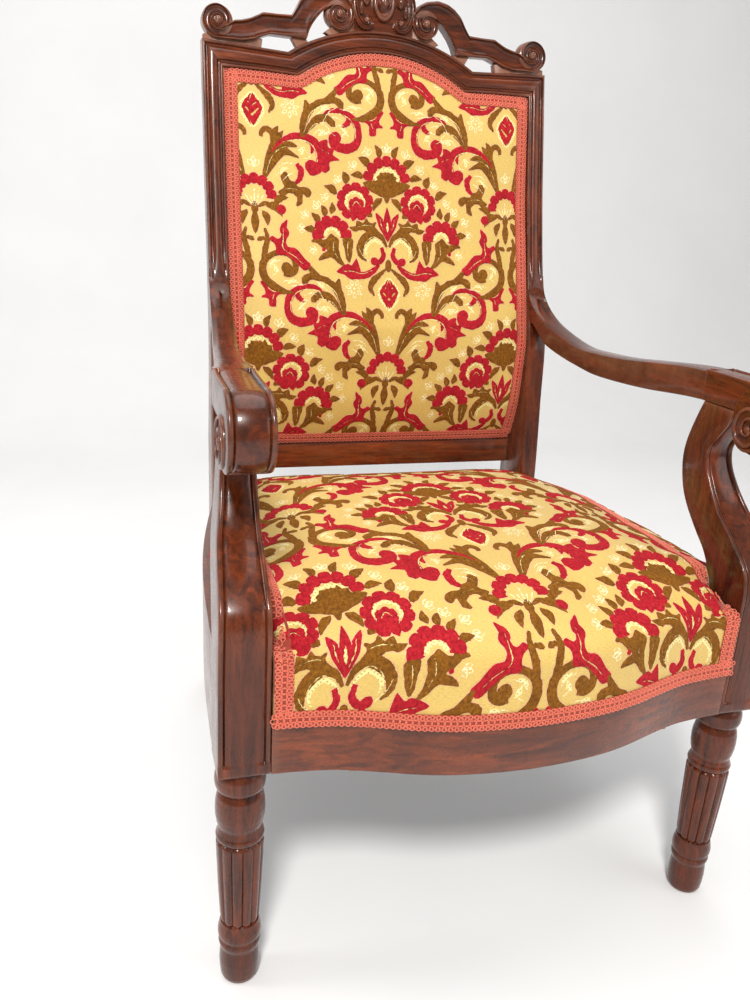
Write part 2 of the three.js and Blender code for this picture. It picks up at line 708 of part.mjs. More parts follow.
/** The cover's apron over the face of the front rail. */
function seatApron() {
  const inner = frontInner - gap - 0.5;
  const stops = evenly(24, -inner, inner);
  const outer = stops.map((x) => [x, bowFront(x) - gap - clothThickness]);
  const back = stops.slice().reverse().map((x) => [x, bowFront(x) - gap]);
  return slab([...outer, ...back], apronLow, railTop + 14);
}
const apronLow = legHeight + 55;

function seatCover() {
  const lift = 1.6; // hessian and gap under the cover
  const hollow = seatDome(clothThickness, railTop - 5, cushionRise - clothThickness);
  return seatDome(0, railTop + gap + lift, cushionRise)
    .add(seatApron())
    .subtract(hollow)
    .subtract(box(-frontOuter, bowFront(0) - 20, railTop - 5, -frontInner + gap, postFace + blockDepth, railTop + 60))
    .subtract(box(frontInner - gap, bowFront(0) - 20, railTop - 5, frontOuter, postFace + blockDepth, railTop + 60));
}

function seatStuffing() {
  return seatDome(clothThickness + gap, railTop + gap + 1.9, cushionRise - clothThickness - gap);
}

const seatHessian = () => slab(seatOutline(6), railTop + gap, railTop + gap + 1.3);

/** The gimp along the foot of the seat's front. */
function seatFrontGimp() {
  const inner = frontInner - gap - 0.5;
  const stops = evenly(24, -inner, inner);
  const face = gap * 2 + clothThickness;
  const outer = stops.map((x) => [x, bowFront(x) - face - gimpThickness]);
  const back = stops.slice().reverse().map((x) => [x, bowFront(x) - face]);
  return slab([...outer, ...back], apronLow - 2, apronLow - 2 + gimpWidth);
}

/** The gimp that climbs beside a front post. */
function seatRiserGimp() {
  const outer = frontInner - gap - 1;
  const face = gap * 2 + clothThickness;
  const width = gimpWidth;
  const y = bowFront(outer - width) - face;
  const low = apronLow - 2 + gimpWidth + gap;
  return box(outer - width, y - gimpThickness, low, outer, y, railTop + 8);
}

const strapWidth = 48;
const strapThickness = 1.6;

/** Webbing: straps across and along the underside of the rails, woven into one net. */
function seatWebbing() {
  const low = legHeight - gap - strapThickness;
  const high = low + strapThickness;
  const along = [-160, -80, 0, 80, 160].map((x) =>
    box(x - 22, bowFront(x) + 8, low, x + 22, seatDepth + rearRailSetBack + railThickness - 6, high));
  const across = evenly(4, 90, seatDepth - 79).map((y) => {
    const half = sideOuter(y - strapWidth / 2) - 14;
    return box(-half, y - strapWidth / 2, low, half, y + strapWidth / 2, high);
  });
  return [...along, ...across].reduce((net, strap) => net.add(strap));
}

function dustCloth() {
  const low = legHeight - gap * 2 - strapThickness - 0.8;
  return slab(seatOutline(14), low, low + 0.8);
}

const springPlaces = [[-115, 115], [115, 115], [0, 240], [-105, 365], [105, 365]];

/** An hourglass spring of round wire, standing on the webbing. */
function seatSpring([x, y]) {
  const turns = 4.5;
  const wire = 1.9;
  const low = legHeight + gap + wire;
  const high = railTop - wire;
  class Coil extends THREE.Curve {
    getPoint(t, target = new THREE.Vector3()) {
      const radius = 27 + 13 * (2 * t - 1) ** 2;
      const turn = 2 * Math.PI * turns * t;
      return target.set(x + radius * Math.cos(turn), y + radius * Math.sin(turn), low + (high - low) * t);
    }
  }
  const section = new THREE.Shape(sweep(0, 0, wire, 0, 288, wire, 4).map(([a, b]) => new THREE.Vector2(a, b)));
  return solid(new THREE.ExtrudeGeometry(section, { steps: 45, bevelEnabled: false, extrudePath: new Coil() }));
}

// ---- Back upholstery ---------------------------------------------------------------------------------
/** A sheet that follows the curve of the back. front and rear give its depth at a place on the panel. */
function backSheet(inset, front, rear) {
  const low = lowerRailTop + gap + inset;
  const half = stileInner - gap - inset;
  const columns = archStops(stileInner, 2, 8).map((x) => x / stileInner);
  const rows = evenly(10, 0, 1);
  const height = (share, t) => THREE.MathUtils.lerp(low, archInner(share * stileInner) - gap - inset, t);
  const place = (share, t, depth) => {
    const z = height(share, t);
    return point(share * half, panelFront(z) + depth(share, t), z);
  };
  return loft(rows.map((t) => [
    ...columns.map((share) => place(share, t, front)),
    ...columns.slice().reverse().map((share) => place(share, t, rear)),
  ]), 'strip');
}

const layerGap = 0.9; // space between the layers of the back, which are faceted differently

/** How far the back's crown stands forward of its edge. */
const crownAt = (share, t) => backCrown * ((1 - share ** 4) * (1 - (2 * t - 1) ** 4)) ** 0.6;

const backDepth = {
  cover: (share, t) => -crownAt(share, t),
  underCover: (share, t) => clothThickness - crownAt(share, t),
  stuffing: (share, t) => clothThickness + layerGap - crownAt(share, t),
  at: (depth) => () => depth,
};

const stuffingBack = 5;
const hessianBack = stuffingBack + layerGap + 1.2;
const webBack = hessianBack + layerGap + strapThickness;

const backCover = () => backSheet(0.4, backDepth.cover, backDepth.underCover);
const backStuffing = () => backSheet(0.8, backDepth.stuffing, backDepth.at(stuffingBack));
const backHessian = () => backSheet(2, backDepth.at(stuffingBack + layerGap), backDepth.at(hessianBack));

function ringOf(outer, inner) {
  return outer.subtract(inner);
}

/** The slip frame that the back is upholstered on. */
function backPanelFrame() {
  const front = webBack + layerGap;
  const rim = 24;
  return ringOf(
    backSheet(0.4, backDepth.at(front), backDepth.at(front + panelDepth)),
    backSheet(rim, backDepth.at(front - 5), backDepth.at(front + panelDepth + 5)),
  );
}

/** Straps of the back, cut from a sheet that follows its curve. */
function backWebbing() {
  const sheet = backSheet(4, backDepth.at(hessianBack + layerGap), backDepth.at(webBack));
  const upright = [-130, 0, 130].map((x) => box(x - 22, 400, lowerRailBottom, x + 22, 700, 1100));
  const level = [530, 650, 770, 890].map((z) => box(-stileOuter, 400, z - 22, stileOuter, 700, z + 22));
  return sheet.intersect([...upright, ...level].reduce((net, strap) => net.add(strap)));
}

/** A border of gimp on the face of the cover. */
function backGimp() {
  const proud = (extra) => (share, t) => -layerGap - extra - crownAt(share, t);
  return ringOf(
    backSheet(0.6, proud(gimpThickness), proud(0)),
    backSheet(gimpWidth, backDepth.at(-60), backDepth.at(60)),
  );
}

function backOuterCover() {
  const front = webBack + panelDepth + layerGap * 2;
  return backSheet(0.4, backDepth.at(front), backDepth.at(front + clothThickness));
}

function backOuterGimp() {
  const front = webBack + panelDepth + layerGap * 3 + clothThickness;
  return ringOf(
    backSheet(0.6, backDepth.at(front), backDepth.at(front + gimpThickness)),
    backSheet(gimpWidth, backDepth.at(front - 10), backDepth.at(front + 20)),
  );
}

// ---- Assembly --------------------------------------------------------------------------------------
const chair = new THREE.Group();

function place(name, body, material) {
  const mesh = new THREE.Mesh(geometryOf(body), material);
  mesh.name = name;
  chair.add(mesh);
}

/** The same piece on both sides of the chair. */
function placePair(name, body, material) {
  place(`${name}_right`, body, material);
  place(`${name}_left`, mirrored(body), material);
}

placePair('front_leg', frontLeg(), mahogany);
placePair('arm_support', armSupport(), mahogany);
placePair('arm', arm(), mahogany);
placePair('rear_post', rearPost(), mahogany);
placePair('arm_screw', armScrew(0), steel);
placePair('corner_dowel', cornerDowel(0), rawWood);
place('back_top_rail', topRail(), mahogany);
place('back_crest', crest(), mahogany);
place('back_lower_rail', lowerRail(), railWood);
place('seat_rail_front', frontRail(), railWood);
placePair('seat_rail', sideRail(), mahogany);
place('seat_rail_rear', rearRail(), railWood);
placePair('corner_block_front', frontCornerBlock(), rawWood);
placePair('corner_block_rear', rearCornerBlock(), rawWood);

place('seat_webbing', seatWebbing(), jute);
springPlaces.forEach((spot, i) => place(`seat_spring_${i + 1}`, seatSpring(spot), steel));
place('seat_hessian', seatHessian(), jute);
place('seat_stuffing', seatStuffing(), stuffing);
place('seat_cover', seatCover(), damask);
place('seat_gimp_front', seatFrontGimp(), gimpBraid);
placePair('seat_gimp_riser', seatRiserGimp(), gimpBraid);
place('seat_dust_cloth', dustCloth(), cambric);

place('back_panel_frame', backPanelFrame(), rawWood);
place('back_webbing', backWebbing(), jute);
place('back_hessian', backHessian(), jute);
place('back_stuffing', backStuffing(), stuffing);
place('back_cover', backCover(), damask);
place('back_gimp', backGimp(), gimpBraid);
place('back_outer_cover', backOuterCover(), damask);
place('back_outer_gimp', backOuterGimp(), gimpBraid);

// The origin is on the floor, under the middle of the chair's box.
const bounds = new THREE.Box3().setFromObject(chair);
chair.position.y = -(bounds.min.y + bounds.max.y) / 2;

export default chair;
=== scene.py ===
"""An open armchair with a carved mahogany frame, upholstered in cut velvet damask and edged with gimp.

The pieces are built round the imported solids. Shapes are worked out in millimetres, with x across the
chair, y running back from the axis of the front legs and z up, and are put in place in metres.
"""
import math

import bmesh
import bpy
import numpy as np
from mathutils import Matrix, Vector
from mathutils.geometry import delaunay_2d_cdt


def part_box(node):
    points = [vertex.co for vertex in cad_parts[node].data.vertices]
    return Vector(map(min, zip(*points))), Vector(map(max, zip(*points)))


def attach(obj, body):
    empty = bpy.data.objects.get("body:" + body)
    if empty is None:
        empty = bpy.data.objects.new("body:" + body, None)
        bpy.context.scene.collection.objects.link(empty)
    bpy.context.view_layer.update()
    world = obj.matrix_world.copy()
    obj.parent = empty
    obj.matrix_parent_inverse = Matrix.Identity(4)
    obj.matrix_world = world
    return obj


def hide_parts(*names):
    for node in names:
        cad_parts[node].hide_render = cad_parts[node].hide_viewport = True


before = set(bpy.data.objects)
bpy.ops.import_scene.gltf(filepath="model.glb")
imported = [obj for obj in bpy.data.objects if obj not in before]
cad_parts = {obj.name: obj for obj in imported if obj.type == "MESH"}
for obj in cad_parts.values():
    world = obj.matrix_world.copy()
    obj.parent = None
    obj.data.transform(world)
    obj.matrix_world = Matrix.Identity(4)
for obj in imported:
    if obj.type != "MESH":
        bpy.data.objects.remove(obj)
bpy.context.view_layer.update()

bl_info = {
    "name": "Armchair in cut velvet",
    "version": (1, 0, 0),
    "blender": (4, 5, 0),
    "location": "3D View > Sidebar > Armchair",
    "description": "Builds an open armchair with a carved frame and damask upholstery",
    "category": "Object",
}

MM = 0.001


LEG_LOW, LEG_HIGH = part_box("front_leg_right")
LEG_AXIS_Y = (LEG_LOW.y + LEG_HIGH.y) / 2
LEG_AXIS_X = (LEG_LOW.x + LEG_HIGH.x) / 2 / MM
BLOCK = 52.0  # width of the block above a front leg
POST_INNER = LEG_AXIS_X - BLOCK / 2
POST_OUTER = LEG_AXIS_X + BLOCK / 2
POST_FACE = -28.5
BLOCK_BACK = 25.5
LEG_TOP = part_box("seat_rail_front")[0].z / MM
RAIL_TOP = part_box("seat_rail_front")[1].z / MM
RAIL_THICK = 27.0
SEAT_DEPTH = 469.0
BACK_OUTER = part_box("rear_post_right")[1].x / MM
STILE = 27.3
BACK_INNER = BACK_OUTER - STILE
CORNER = 1006.0  # height of the back's outer corners
TOP_RAIL = 30.0
ARM_TOP = 648.0
ARM_THICK = 36.0
SCROLL_RADIUS = 38.0
SCROLL_Y, SCROLL_Z = 5.0, ARM_TOP - SCROLL_RADIUS
LOWER_RAIL_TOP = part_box("back_lower_rail")[1].z / MM
LOWER_RAIL_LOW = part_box("back_lower_rail")[0].z / MM
ARM_JOINT = ARM_TOP + 34
CREST_DEPTH = 22.0


# ---- Sizes and colours a user may change ----
def length(name, default, description):
    return bpy.props.FloatProperty(
        name=name, description=description, default=default, min=0.0, unit="LENGTH", precision=4)


def colour(name, rgb, description):
    return bpy.props.FloatVectorProperty(
        name=name, description=description, default=rgb, size=3, min=0.0, max=1.0, subtype="COLOR")


class ArmchairUpholstery(bpy.types.PropertyGroup):
    crown: length("Seat crown", 0.0505, "Height of the seat's middle above the rails")
    back_crown: length("Back crown", 0.016, "How far the back's middle stands forward of its edge")
    pile: length("Pile", 0.0010, "Height of the cut velvet above the satin ground")
    repeat_across: length("Repeat across", 0.384, "Width of one repeat of the damask")
    repeat_along: length("Repeat along", 0.490, "Height of one repeat of the damask")
    gimp_width: length("Gimp width", 0.018, "Width of the braid")
    gimp_pitch: length("Gimp pitch", 0.0062, "Distance from one link of the braid to the next")


class ArmchairFinishes(bpy.types.PropertyGroup):
    wood_dark: colour("Wood, dark", (0.030, 0.0062, 0.0020), "Darkest tone of the polished mahogany")
    wood_red: colour("Wood, red", (0.185, 0.034, 0.0065), "Red tone of the polished mahogany")
    # Tone of the lightened sharp edges: partly real wear, partly a painted highlight.
    wood_wear_and_highlight: colour("Wood, worn", (0.30, 0.135, 0.085), "Tone of the worn edges")
    satin: colour("Satin", (0.72, 0.49, 0.125), "Gold ground of the damask")
    crimson: colour("Crimson", (0.50, 0.007, 0.020), "Crimson velvet")
    olive: colour("Olive", (0.235, 0.080, 0.0045), "Olive brown velvet")
    gimp: colour("Gimp", (0.76, 0.165, 0.095), "Braid along the edges of the upholstery")


def upholstery():
    return bpy.context.scene.armchair_upholstery


def finishes():
    return bpy.context.scene.armchair_finishes


# ---- Curves ----
def smooth_through(pairs):
    """A smooth function through (input, output) pairs, straight past its ends."""
    xs = np.array([p[0] for p in pairs], float)
    ys = np.array([p[1:] if len(p) > 2 else p[1] for p in pairs], float)
    wide = ys if ys.ndim == 2 else ys[:, None]
    slopes = np.empty_like(wide)
    for i in range(len(xs)):
        a, b = max(i - 1, 0), min(i + 1, len(xs) - 1)
        slopes[i] = (wide[b] - wide[a]) / (xs[b] - xs[a])

    def value(x):
        x = np.asarray(x, float)
        i = np.clip(np.searchsorted(xs, x, side="right") - 1, 0, len(xs) - 2)
        h = xs[i + 1] - xs[i]
        raw = (x - xs[i]) / h
        t = np.clip(raw, 0, 1)[..., None]
        low, high, h2 = wide[i], wide[i + 1], h[..., None]
        out = (1 + 2 * t) * (1 - t) ** 2 * low + t * t * (3 - 2 * t) * high
        out = out + h2 * t * (1 - t) * ((1 - t) * slopes[i] - t * slopes[i + 1])
        past = np.where(raw[..., None] < 0, slopes[0], slopes[-1]) * (raw[..., None] - t) * h2
        out = out + past
        return out if ys.ndim == 2 else out[..., 0]

    return value


def run_length(points):
    """The distance along a line to each of its points."""
    return np.concatenate([[0], np.cumsum(np.linalg.norm(np.diff(points, axis=0), axis=1))])


def headings(path):
    """The direction of a line at each of its points."""
    ahead = np.gradient(path, axis=0)
    return ahead / np.linalg.norm(ahead, axis=1)[:, None]


def smooth_path(points, count):
    """Evenly spaced points along a smooth curve through the given ones."""
    points = np.asarray(points, float)
    reach = run_length(points)
    curve = smooth_through([(r, *p) for r, p in zip(reach, points)])
    return curve(np.linspace(0, reach[-1], count))


def smoothstep(x, low, high):
    """0 below low, 1 above high, and a smooth rise between."""
    t = np.clip((np.asarray(x, float) - low) / (high - low), 0, 1)
    return t * t * (3 - 2 * t)


def profile(pairs):
    """A straight-sided function through (input, output) pairs."""
    xs, ys = np.array(pairs, float).T
    return lambda x: np.interp(x, xs, ys)


# ---- Lines that several pieces share ----
POST_LINE = [
    (0, 131, 165), (100, 83, 129), (200, 39, 97), (272, 15, 82), (334, 4, 77), (397, 0, 76), (463, 4, 78),
    (527, 10, 70), (608, 16, 66), (650, 28, 72), (718, 50, 83), (826, 78, 108), (913, 97, 126),
    (1006, 117, 145),
]
post_faces = smooth_through(POST_LINE)
post_front = lambda z: post_faces(z)[..., 0] + SEAT_DEPTH
post_back = lambda z: post_faces(z)[..., 1] + SEAT_DEPTH
panel_recess = smooth_through([(455, 52), (519, 27), (571, 20), (633, 12), (717, 7), (825, 9), (972, 5)])
panel_front = lambda z: post_front(z) + panel_recess(z)
bow_shape = smooth_through([
    (0, 1), (0.147, 0.96), (0.315, 0.85), (0.454, 0.67), (0.6, 0.4), (0.744, 0.16), (0.894, 0.04), (1, 0)])
bow_front = lambda x: POST_FACE - 47.5 * bow_shape(np.abs(x) / POST_INNER)


def side_outer(y):
    share = (np.asarray(y, float) - 26) / (SEAT_DEPTH - 26)
    return POST_OUTER + (BACK_OUTER - POST_OUTER) * share + 13 * np.sin(np.pi * share)


ARCH_HALF, ARCH_RISE, ARCH_DIP = 139.0, 34.0, 6.0


def arch_edge(x):
    """Upper edge of the top rail: a low arch between two nearly level ends."""
    reach = np.abs(np.asarray(x, float))
    level = CORNER - ARCH_DIP * (BACK_OUTER - reach) / (BACK_OUTER - ARCH_HALF)
    rise = ARCH_RISE + ARCH_DIP
    radius = (ARCH_HALF ** 2 + rise ** 2) / (2 * rise)
    arc = CORNER - ARCH_DIP + rise - radius + np.sqrt(np.maximum(radius ** 2 - reach ** 2, 0))
    return np.where(reach > ARCH_HALF, level, arc)


def arch_inner(x):
    share = np.abs(np.asarray(x, float)) / BACK_INNER
    return arch_edge(x * BACK_OUTER / BACK_INNER) - TOP_RAIL - 4 * share ** 4


# ---- Making pieces ----
def in_place(points):
    """Millimetres from the front legs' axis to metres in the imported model's frame."""
    out = np.array(points, float) * MM
    out[:, 1] += LEG_AXIS_Y
    return out


def loft(rings, closed_ends=True):
    """A skin through rings of equal length, each a closed loop, with its ends filled in."""
    rings = np.asarray(rings, float)
    count, size = rings.shape[:2]
    faces = []
    for i in range(count - 1):
        for j in range(size):
            k = (j + 1) % size
            faces.append((i * size + j, i * size + k, (i + 1) * size + k, (i + 1) * size + j))
    if closed_ends:
        faces.append(tuple(range(size)))
        faces.append(tuple(range((count - 1) * size, count * size))[::-1])
    return rings.reshape(-1, 3), faces


def lathe(outline, axis_point, axis="z", sides=48, radius_at=None):
    """A turned shape from (along, radius) pairs round an upright or a cross axis."""
    turns = np.linspace(0, 2 * np.pi, sides, endpoint=False)
    rings = []
    for along, radius in outline:
        r = radius if radius_at is None else radius_at(along, radius, turns)
        u, v, w = r * np.cos(turns), r * np.sin(turns), np.full(sides, float(along))
        ring = np.stack([u, v, w], 1) if axis == "z" else np.stack([w, u, v], 1)
        rings.append(ring + np.asarray(axis_point))
    return loft(rings)


def tube(path, radii, sides=8):
    """A round bar along a path, closed at its ends."""
    path = np.asarray(path, float)
    radii = np.broadcast_to(radii, len(path))
    along = headings(path)
    side = np.cross(along[0], (0.1, 1.0, 0.2))
    rings = []
    for p, a, r in zip(path, along, radii):
        side = side - a * (side @ a)
        side /= np.linalg.norm(side)
        up = np.cross(a, side)
        rings.append([p + r * (math.cos(t) * side + math.sin(t) * up)
                      for t in np.linspace(0, 2 * np.pi, sides, endpoint=False)])
    return loft(rings)


def dome(centre, radii, tilt=0.0, rows=8, sides=20):
    """An ellipsoid, turned about x."""
    rings = []
    for a in np.linspace(-np.pi / 2 + 0.02, np.pi / 2 - 0.02, rows):
        t = np.linspace(0, 2 * np.pi, sides, endpoint=False)
        x, z = radii[0] * np.cos(a) * np.cos(t), radii[2] * np.cos(a) * np.sin(t)
        y = np.full(sides, radii[1] * np.sin(a))
        rings.append(np.stack([
            x, y * math.cos(tilt) - z * math.sin(tilt), y * math.sin(tilt) + z * math.cos(tilt)], 1)
            + np.asarray(centre))
    return loft(rings)


def together(*shapes):
    """Several shapes as one."""
    points, faces, start = [], [], 0
    for shape_points, shape_faces in shapes:
        points.append(np.asarray(shape_points, float))
        faces += [tuple(i + start for i in face) for face in shape_faces]
        start += len(shape_points)
    return np.concatenate(points), faces


def mirrored(shape):
    points, faces = shape
    return np.asarray(points) * (-1, 1, 1), [face[::-1] for face in faces]


def add_object(name, data):
    thing = bpy.data.objects.new(name, data)
    bpy.context.scene.collection.objects.link(thing)
    return thing


def finish(thing, stands_for=()):
    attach(thing, "root")
    if stands_for:
        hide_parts(*stands_for)
    return thing


def make(name, shape, material, slot, stands_for=(), sharp=32.0, turn_out=True):
    """A finished piece from points in millimetres and faces."""
    points, faces = shape
    mesh = bpy.data.meshes.new(name)
    mesh.from_pydata(in_place(points).tolist(), [], faces)
    if turn_out:
        shell = bmesh.new()
        shell.from_mesh(mesh)
        bmesh.ops.recalc_face_normals(shell, faces=shell.faces)
        shell.to_mesh(mesh)
        shell.free()
    mesh.shade_smooth()
    mesh.set_sharp_from_angle(angle=math.radians(sharp))
    mesh.materials.append(material)
    return finish(add_object(name, mesh), stands_for)


def merge(thing, reach):
    """Join points that lie this close, where two halves meet on the chair's middle."""
    shell = bmesh.new()
    shell.from_mesh(thing.data)
    bmesh.ops.remove_doubles(shell, verts=shell.verts, dist=reach)
    shell.to_mesh(thing.data)
    shell.free()


def make_pair(name, shape, material, slot, **options):
    """The same piece on both sides: right is the +x side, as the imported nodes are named."""
    for side, half in (("right", shape), ("left", mirrored(shape))):
        node = f"{name}_{side}"
        make(f"{node}_carved", half, material, slot, stands_for=(node,), **options)


# ---- Materials ----
class Graph:
    """A short way to write a material's nodes."""

    def __init__(self, name):
        self.material = bpy.data.materials.new(name)
        self.material.use_nodes = True
        self.tree = self.material.node_tree
        self.shader = self.tree.nodes["Principled BSDF"]
        self.coordinates = self.add("TexCoord")

    def add(self, kind, inputs=None, **settings):
        node = self.tree.nodes.new("ShaderNode" + kind)
        for key, value in settings.items():
            setattr(node, key, value)
        self.feed(node, inputs or {})
        return node

    def feed(self, node, inputs):
        for key, value in inputs.items():
            socket = node.inputs[key]
            if isinstance(value, bpy.types.NodeSocket):
                self.tree.links.new(value, socket)
            elif isinstance(value, bpy.types.Node):
                self.tree.links.new(value.outputs[0], socket)
            else:
                socket.default_value = value

    def place(self, source, scale, turn=(0, 0, 0)):
        return self.add("Mapping", {"Vector": source, "Scale": scale, "Rotation": turn})

    def noise(self, vector, scale, detail=3.0, rough=0.55, distortion=0.0):
        return self.add("TexNoise", {
            "Vector": vector, "Scale": scale, "Detail": detail, "Roughness": rough,
            "Distortion": distortion}).outputs["Fac"]

    def ramp(self, value, stops):
        node = self.add("ValToRGB", {"Fac": value})
        ramp = node.color_ramp
        while len(ramp.elements) < len(stops):
            ramp.elements.new(0.5)
        for element, (position, rgb) in zip(ramp.elements, stops):
            element.position = position
            element.color = (*rgb, 1) if hasattr(rgb, "__len__") else (rgb, rgb, rgb, 1)
        return node.outputs["Color"]

    def mix(self, factor, a, b, blend="MIX"):
        node = self.add("Mix", data_type="RGBA", blend_type=blend)
        for index, value in ((0, factor), (6, a), (7, b)):
            if isinstance(value, bpy.types.NodeSocket):
                self.tree.links.new(value, node.inputs[index])
            else:
                value = (*value, 1) if hasattr(value, "__len__") and len(value) == 3 else value
                node.inputs[index].default_value = value
        return node.outputs[2]

    def math(self, operation, a, b=0.0, c=None):
        inputs = {0: a, 1: b}
        if c is not None:
            inputs[2] = c
        return self.add("Math", inputs, operation=operation).outputs[0]

    def bump(self, height, strength, distance, normal=None):
        inputs = {"Height": height, "Strength": strength, "Distance": distance}
        if normal is not None:
            inputs["Normal"] = normal
        return self.add("Bump", inputs).outputs["Normal"]

    def done(self, **sockets):
        self.feed(self.shader, {key.replace("_", " "): value for key, value in sockets.items()})
        return self.material


def shade(rgb, amount):
    return tuple(min(c * amount, 1.0) for c in rgb)


def polished_mahogany(grain, dark=1.0, wear_and_highlight=1.0):
    """French-polished mahogany, its grain along x, y or z, its sharp edges lightened partly as wear and
    partly as a painted highlight.
    """
    tones = finishes()
    g = Graph(f"polished_mahogany_{grain}_{round(dark * 100)}")
    along = {"x": (0.09, 1, 1), "y": (1, 0.09, 1), "z": (1, 1, 0.09)}[grain]
    fine = {"x": (0.03, 1, 1), "y": (1, 0.03, 1), "z": (1, 1, 0.03)}[grain]
    where = g.coordinates.outputs["Object"]
    figure = g.noise(g.place(where, along), 95.0, 4.0, 0.6, 0.9)
    cloud = g.noise(where, 9.0, 2.0)
    pores = g.noise(g.place(where, fine), 1500.0, 2.0, 0.6)
    tone = g.ramp(figure, [(0.30, tones.wood_dark[:]), (0.50, shade(tones.wood_red, 0.62)),
                           (0.66, tones.wood_red[:]), (0.80, shade(tones.wood_red, 1.55))])
    tone = g.mix(g.ramp(cloud, [(0.35, 0.0), (0.7, 0.55)]), tone, shade(tones.wood_dark, 1.1))
    tone = g.mix(g.ramp(pores, [(0.34, 0.75), (0.46, 0.0)]), tone, shade(tones.wood_dark, 0.45))
    tone = g.mix(1.0, tone, (dark, dark, dark), "MULTIPLY")
    # Sharp edges (Pointiness) lightened towards the worn tone: partly real wear, partly a painted highlight.
    edges = g.ramp(g.add("NewGeometry").outputs["Pointiness"], [(0.525, 0.0), (0.60, 0.8 * wear_and_highlight)])
    wear_and_painted_highlight = g.math("MULTIPLY", edges, g.ramp(g.noise(where, 55.0, 4.0), [(0.3, 0.35), (0.6, 1.0)]))
    tone = g.mix(wear_and_painted_highlight, tone, shade(tones.wood_wear_and_highlight, 0.9))
    rough = g.ramp(g.noise(where, 32.0, 5.0), [(0.3, 0.20), (0.75, 0.36)])
    height = g.math("ADD", g.math("MULTIPLY", pores, 0.6), g.noise(where, 22.0, 2.0))
    return g.done(Base_Color=tone, Roughness=rough, Specular_IOR_Level=0.30, Coat_Weight=0.30,
                  Coat_Roughness=0.07, Normal=g.bump(height, 0.16, 0.0003))


def raw_timber():
    g = Graph("raw_beech")
    where = g.coordinates.outputs["Object"]
    lines = g.noise(g.place(where, (0.1, 1, 1)), 260.0, 4.0, 0.6, 0.5)
    tone = g.ramp(lines, [(0.3, (0.20, 0.105, 0.045)), (0.7, (0.46, 0.28, 0.13))])
    return g.done(Base_Color=tone, Roughness=g.ramp(lines, [(0, 0.7), (1, 0.9)]),
                  Normal=g.bump(lines, 0.4, 0.0006))


def sprung_steel():
    g = Graph("coppered_steel")
    where = g.coordinates.outputs["Object"]
    rust = g.noise(where, 90.0, 4.0)
    tone = g.ramp(rust, [(0.4, (0.42, 0.37, 0.33)), (0.68, (0.21, 0.085, 0.035))])
    return g.done(Base_Color=tone, Metallic=g.ramp(rust, [(0.45, 1.0), (0.7, 0.3)]),
                  Roughness=g.ramp(rust, [(0.4, 0.32), (0.7, 0.8)]), Normal=g.bump(rust, 0.3, 0.0004))


def woven_cloth(name, dark, light, threads):
    """A plain weave on Object coordinates, for webbing, hessian and the black cloth underneath."""
    g = Graph(name)
    where = g.coordinates.outputs["Object"]
    warp, weft = (g.add("TexWave", {"Vector": where, "Scale": threads, "Distortion": 0.6, "Detail": 1.0},
                        bands_direction=way).outputs["Fac"] for way in "XY")
    weave = g.math("MULTIPLY", warp, weft)
    fluff = g.noise(where, 400.0, 3.0)
    tone = g.mix(weave, g.mix(fluff, dark, shade(dark, 1.7)), light)
    return g.done(Base_Color=tone, Roughness=0.9, Sheen_Weight=0.25,
                  Normal=g.bump(g.math("ADD", weave, fluff), 0.5, 0.0008))


def satin_ground():
    """The gold satin of the damask: fine ribs across the cloth, with a broken thread here and there."""
    tones = finishes()
    g = Graph("damask_satin")
    cloth = g.coordinates.outputs["UV"]
    ribs = g.add("TexWave", {"Vector": cloth, "Scale": 190.0, "Distortion": 1.6, "Detail": 2.0,
                             "Detail Scale": 3.0}, bands_direction="Y").outputs["Fac"]
    slubs = g.noise(g.place(cloth, (0.22, 1, 1)), 1300.0, 3.0, 0.6)
    broad = g.noise(cloth, 16.0, 3.0)
    tone = g.ramp(slubs, [(0.28, shade(tones.satin, 0.66)), (0.5, tones.satin[:]),
                          (0.75, shade(tones.satin, 1.22))])
    tone = g.mix(g.ramp(broad, [(0.3, 0.28), (0.7, 0.0)]), tone, shade(tones.satin, 0.70))
    tone = g.mix(g.math("MULTIPLY", ribs, 0.20), tone, shade(tones.satin, 0.72))
    height = g.math("ADD", ribs, g.math("MULTIPLY", slubs, 0.8))
    return g.done(Base_Color=tone, Roughness=g.ramp(slubs, [(0.3, 0.46), (0.7, 0.62)]),
                  Specular_IOR_Level=0.45, Sheen_Weight=0.18, Normal=g.bump(height, 0.35, 0.0004))


def cut_velvet(name, rgb, light):
    """Cut pile: dark where it is looked into, lighter where it has been brushed."""
    g = Graph(name)
    cloth = g.coordinates.outputs["UV"]
    tufts = g.noise(cloth, 1500.0, 2.0, 0.7)
    rows = g.add("TexWave", {"Vector": cloth, "Scale": 260.0, "Distortion": 2.5, "Detail": 2.0},
                 bands_direction="X").outputs["Fac"]
    brushed = g.noise(g.place(cloth, (1, 0.5, 1)), 60.0, 4.0, 0.65)
    parted = g.noise(g.place(cloth, (1, 0.7, 1)), 330.0, 3.0, 0.6)
    tone = g.ramp(tufts, [(0.30, shade(rgb, 0.42)), (0.50, rgb), (0.72, light)])
    tone = g.mix(g.ramp(parted, [(0.36, 0.60), (0.50, 0.0)]), tone, shade(rgb, 0.38))
    tone = g.mix(g.ramp(parted, [(0.54, 0.0), (0.70, 0.50)]), tone, light)
    tone = g.mix(g.ramp(brushed, [(0.35, 0.40), (0.55, 0.0)]), tone, shade(rgb, 0.45))
    height = g.math("ADD", tufts, g.math("MULTIPLY", rows, 0.35))
    return g.done(Base_Color=tone, Roughness=0.82, Specular_IOR_Level=0.2, Sheen_Weight=0.16,
                  Sheen_Roughness=0.4, Sheen_Tint=(*shade(light, 1.5), 1),
                  Normal=g.bump(height, 0.8, 0.0009))


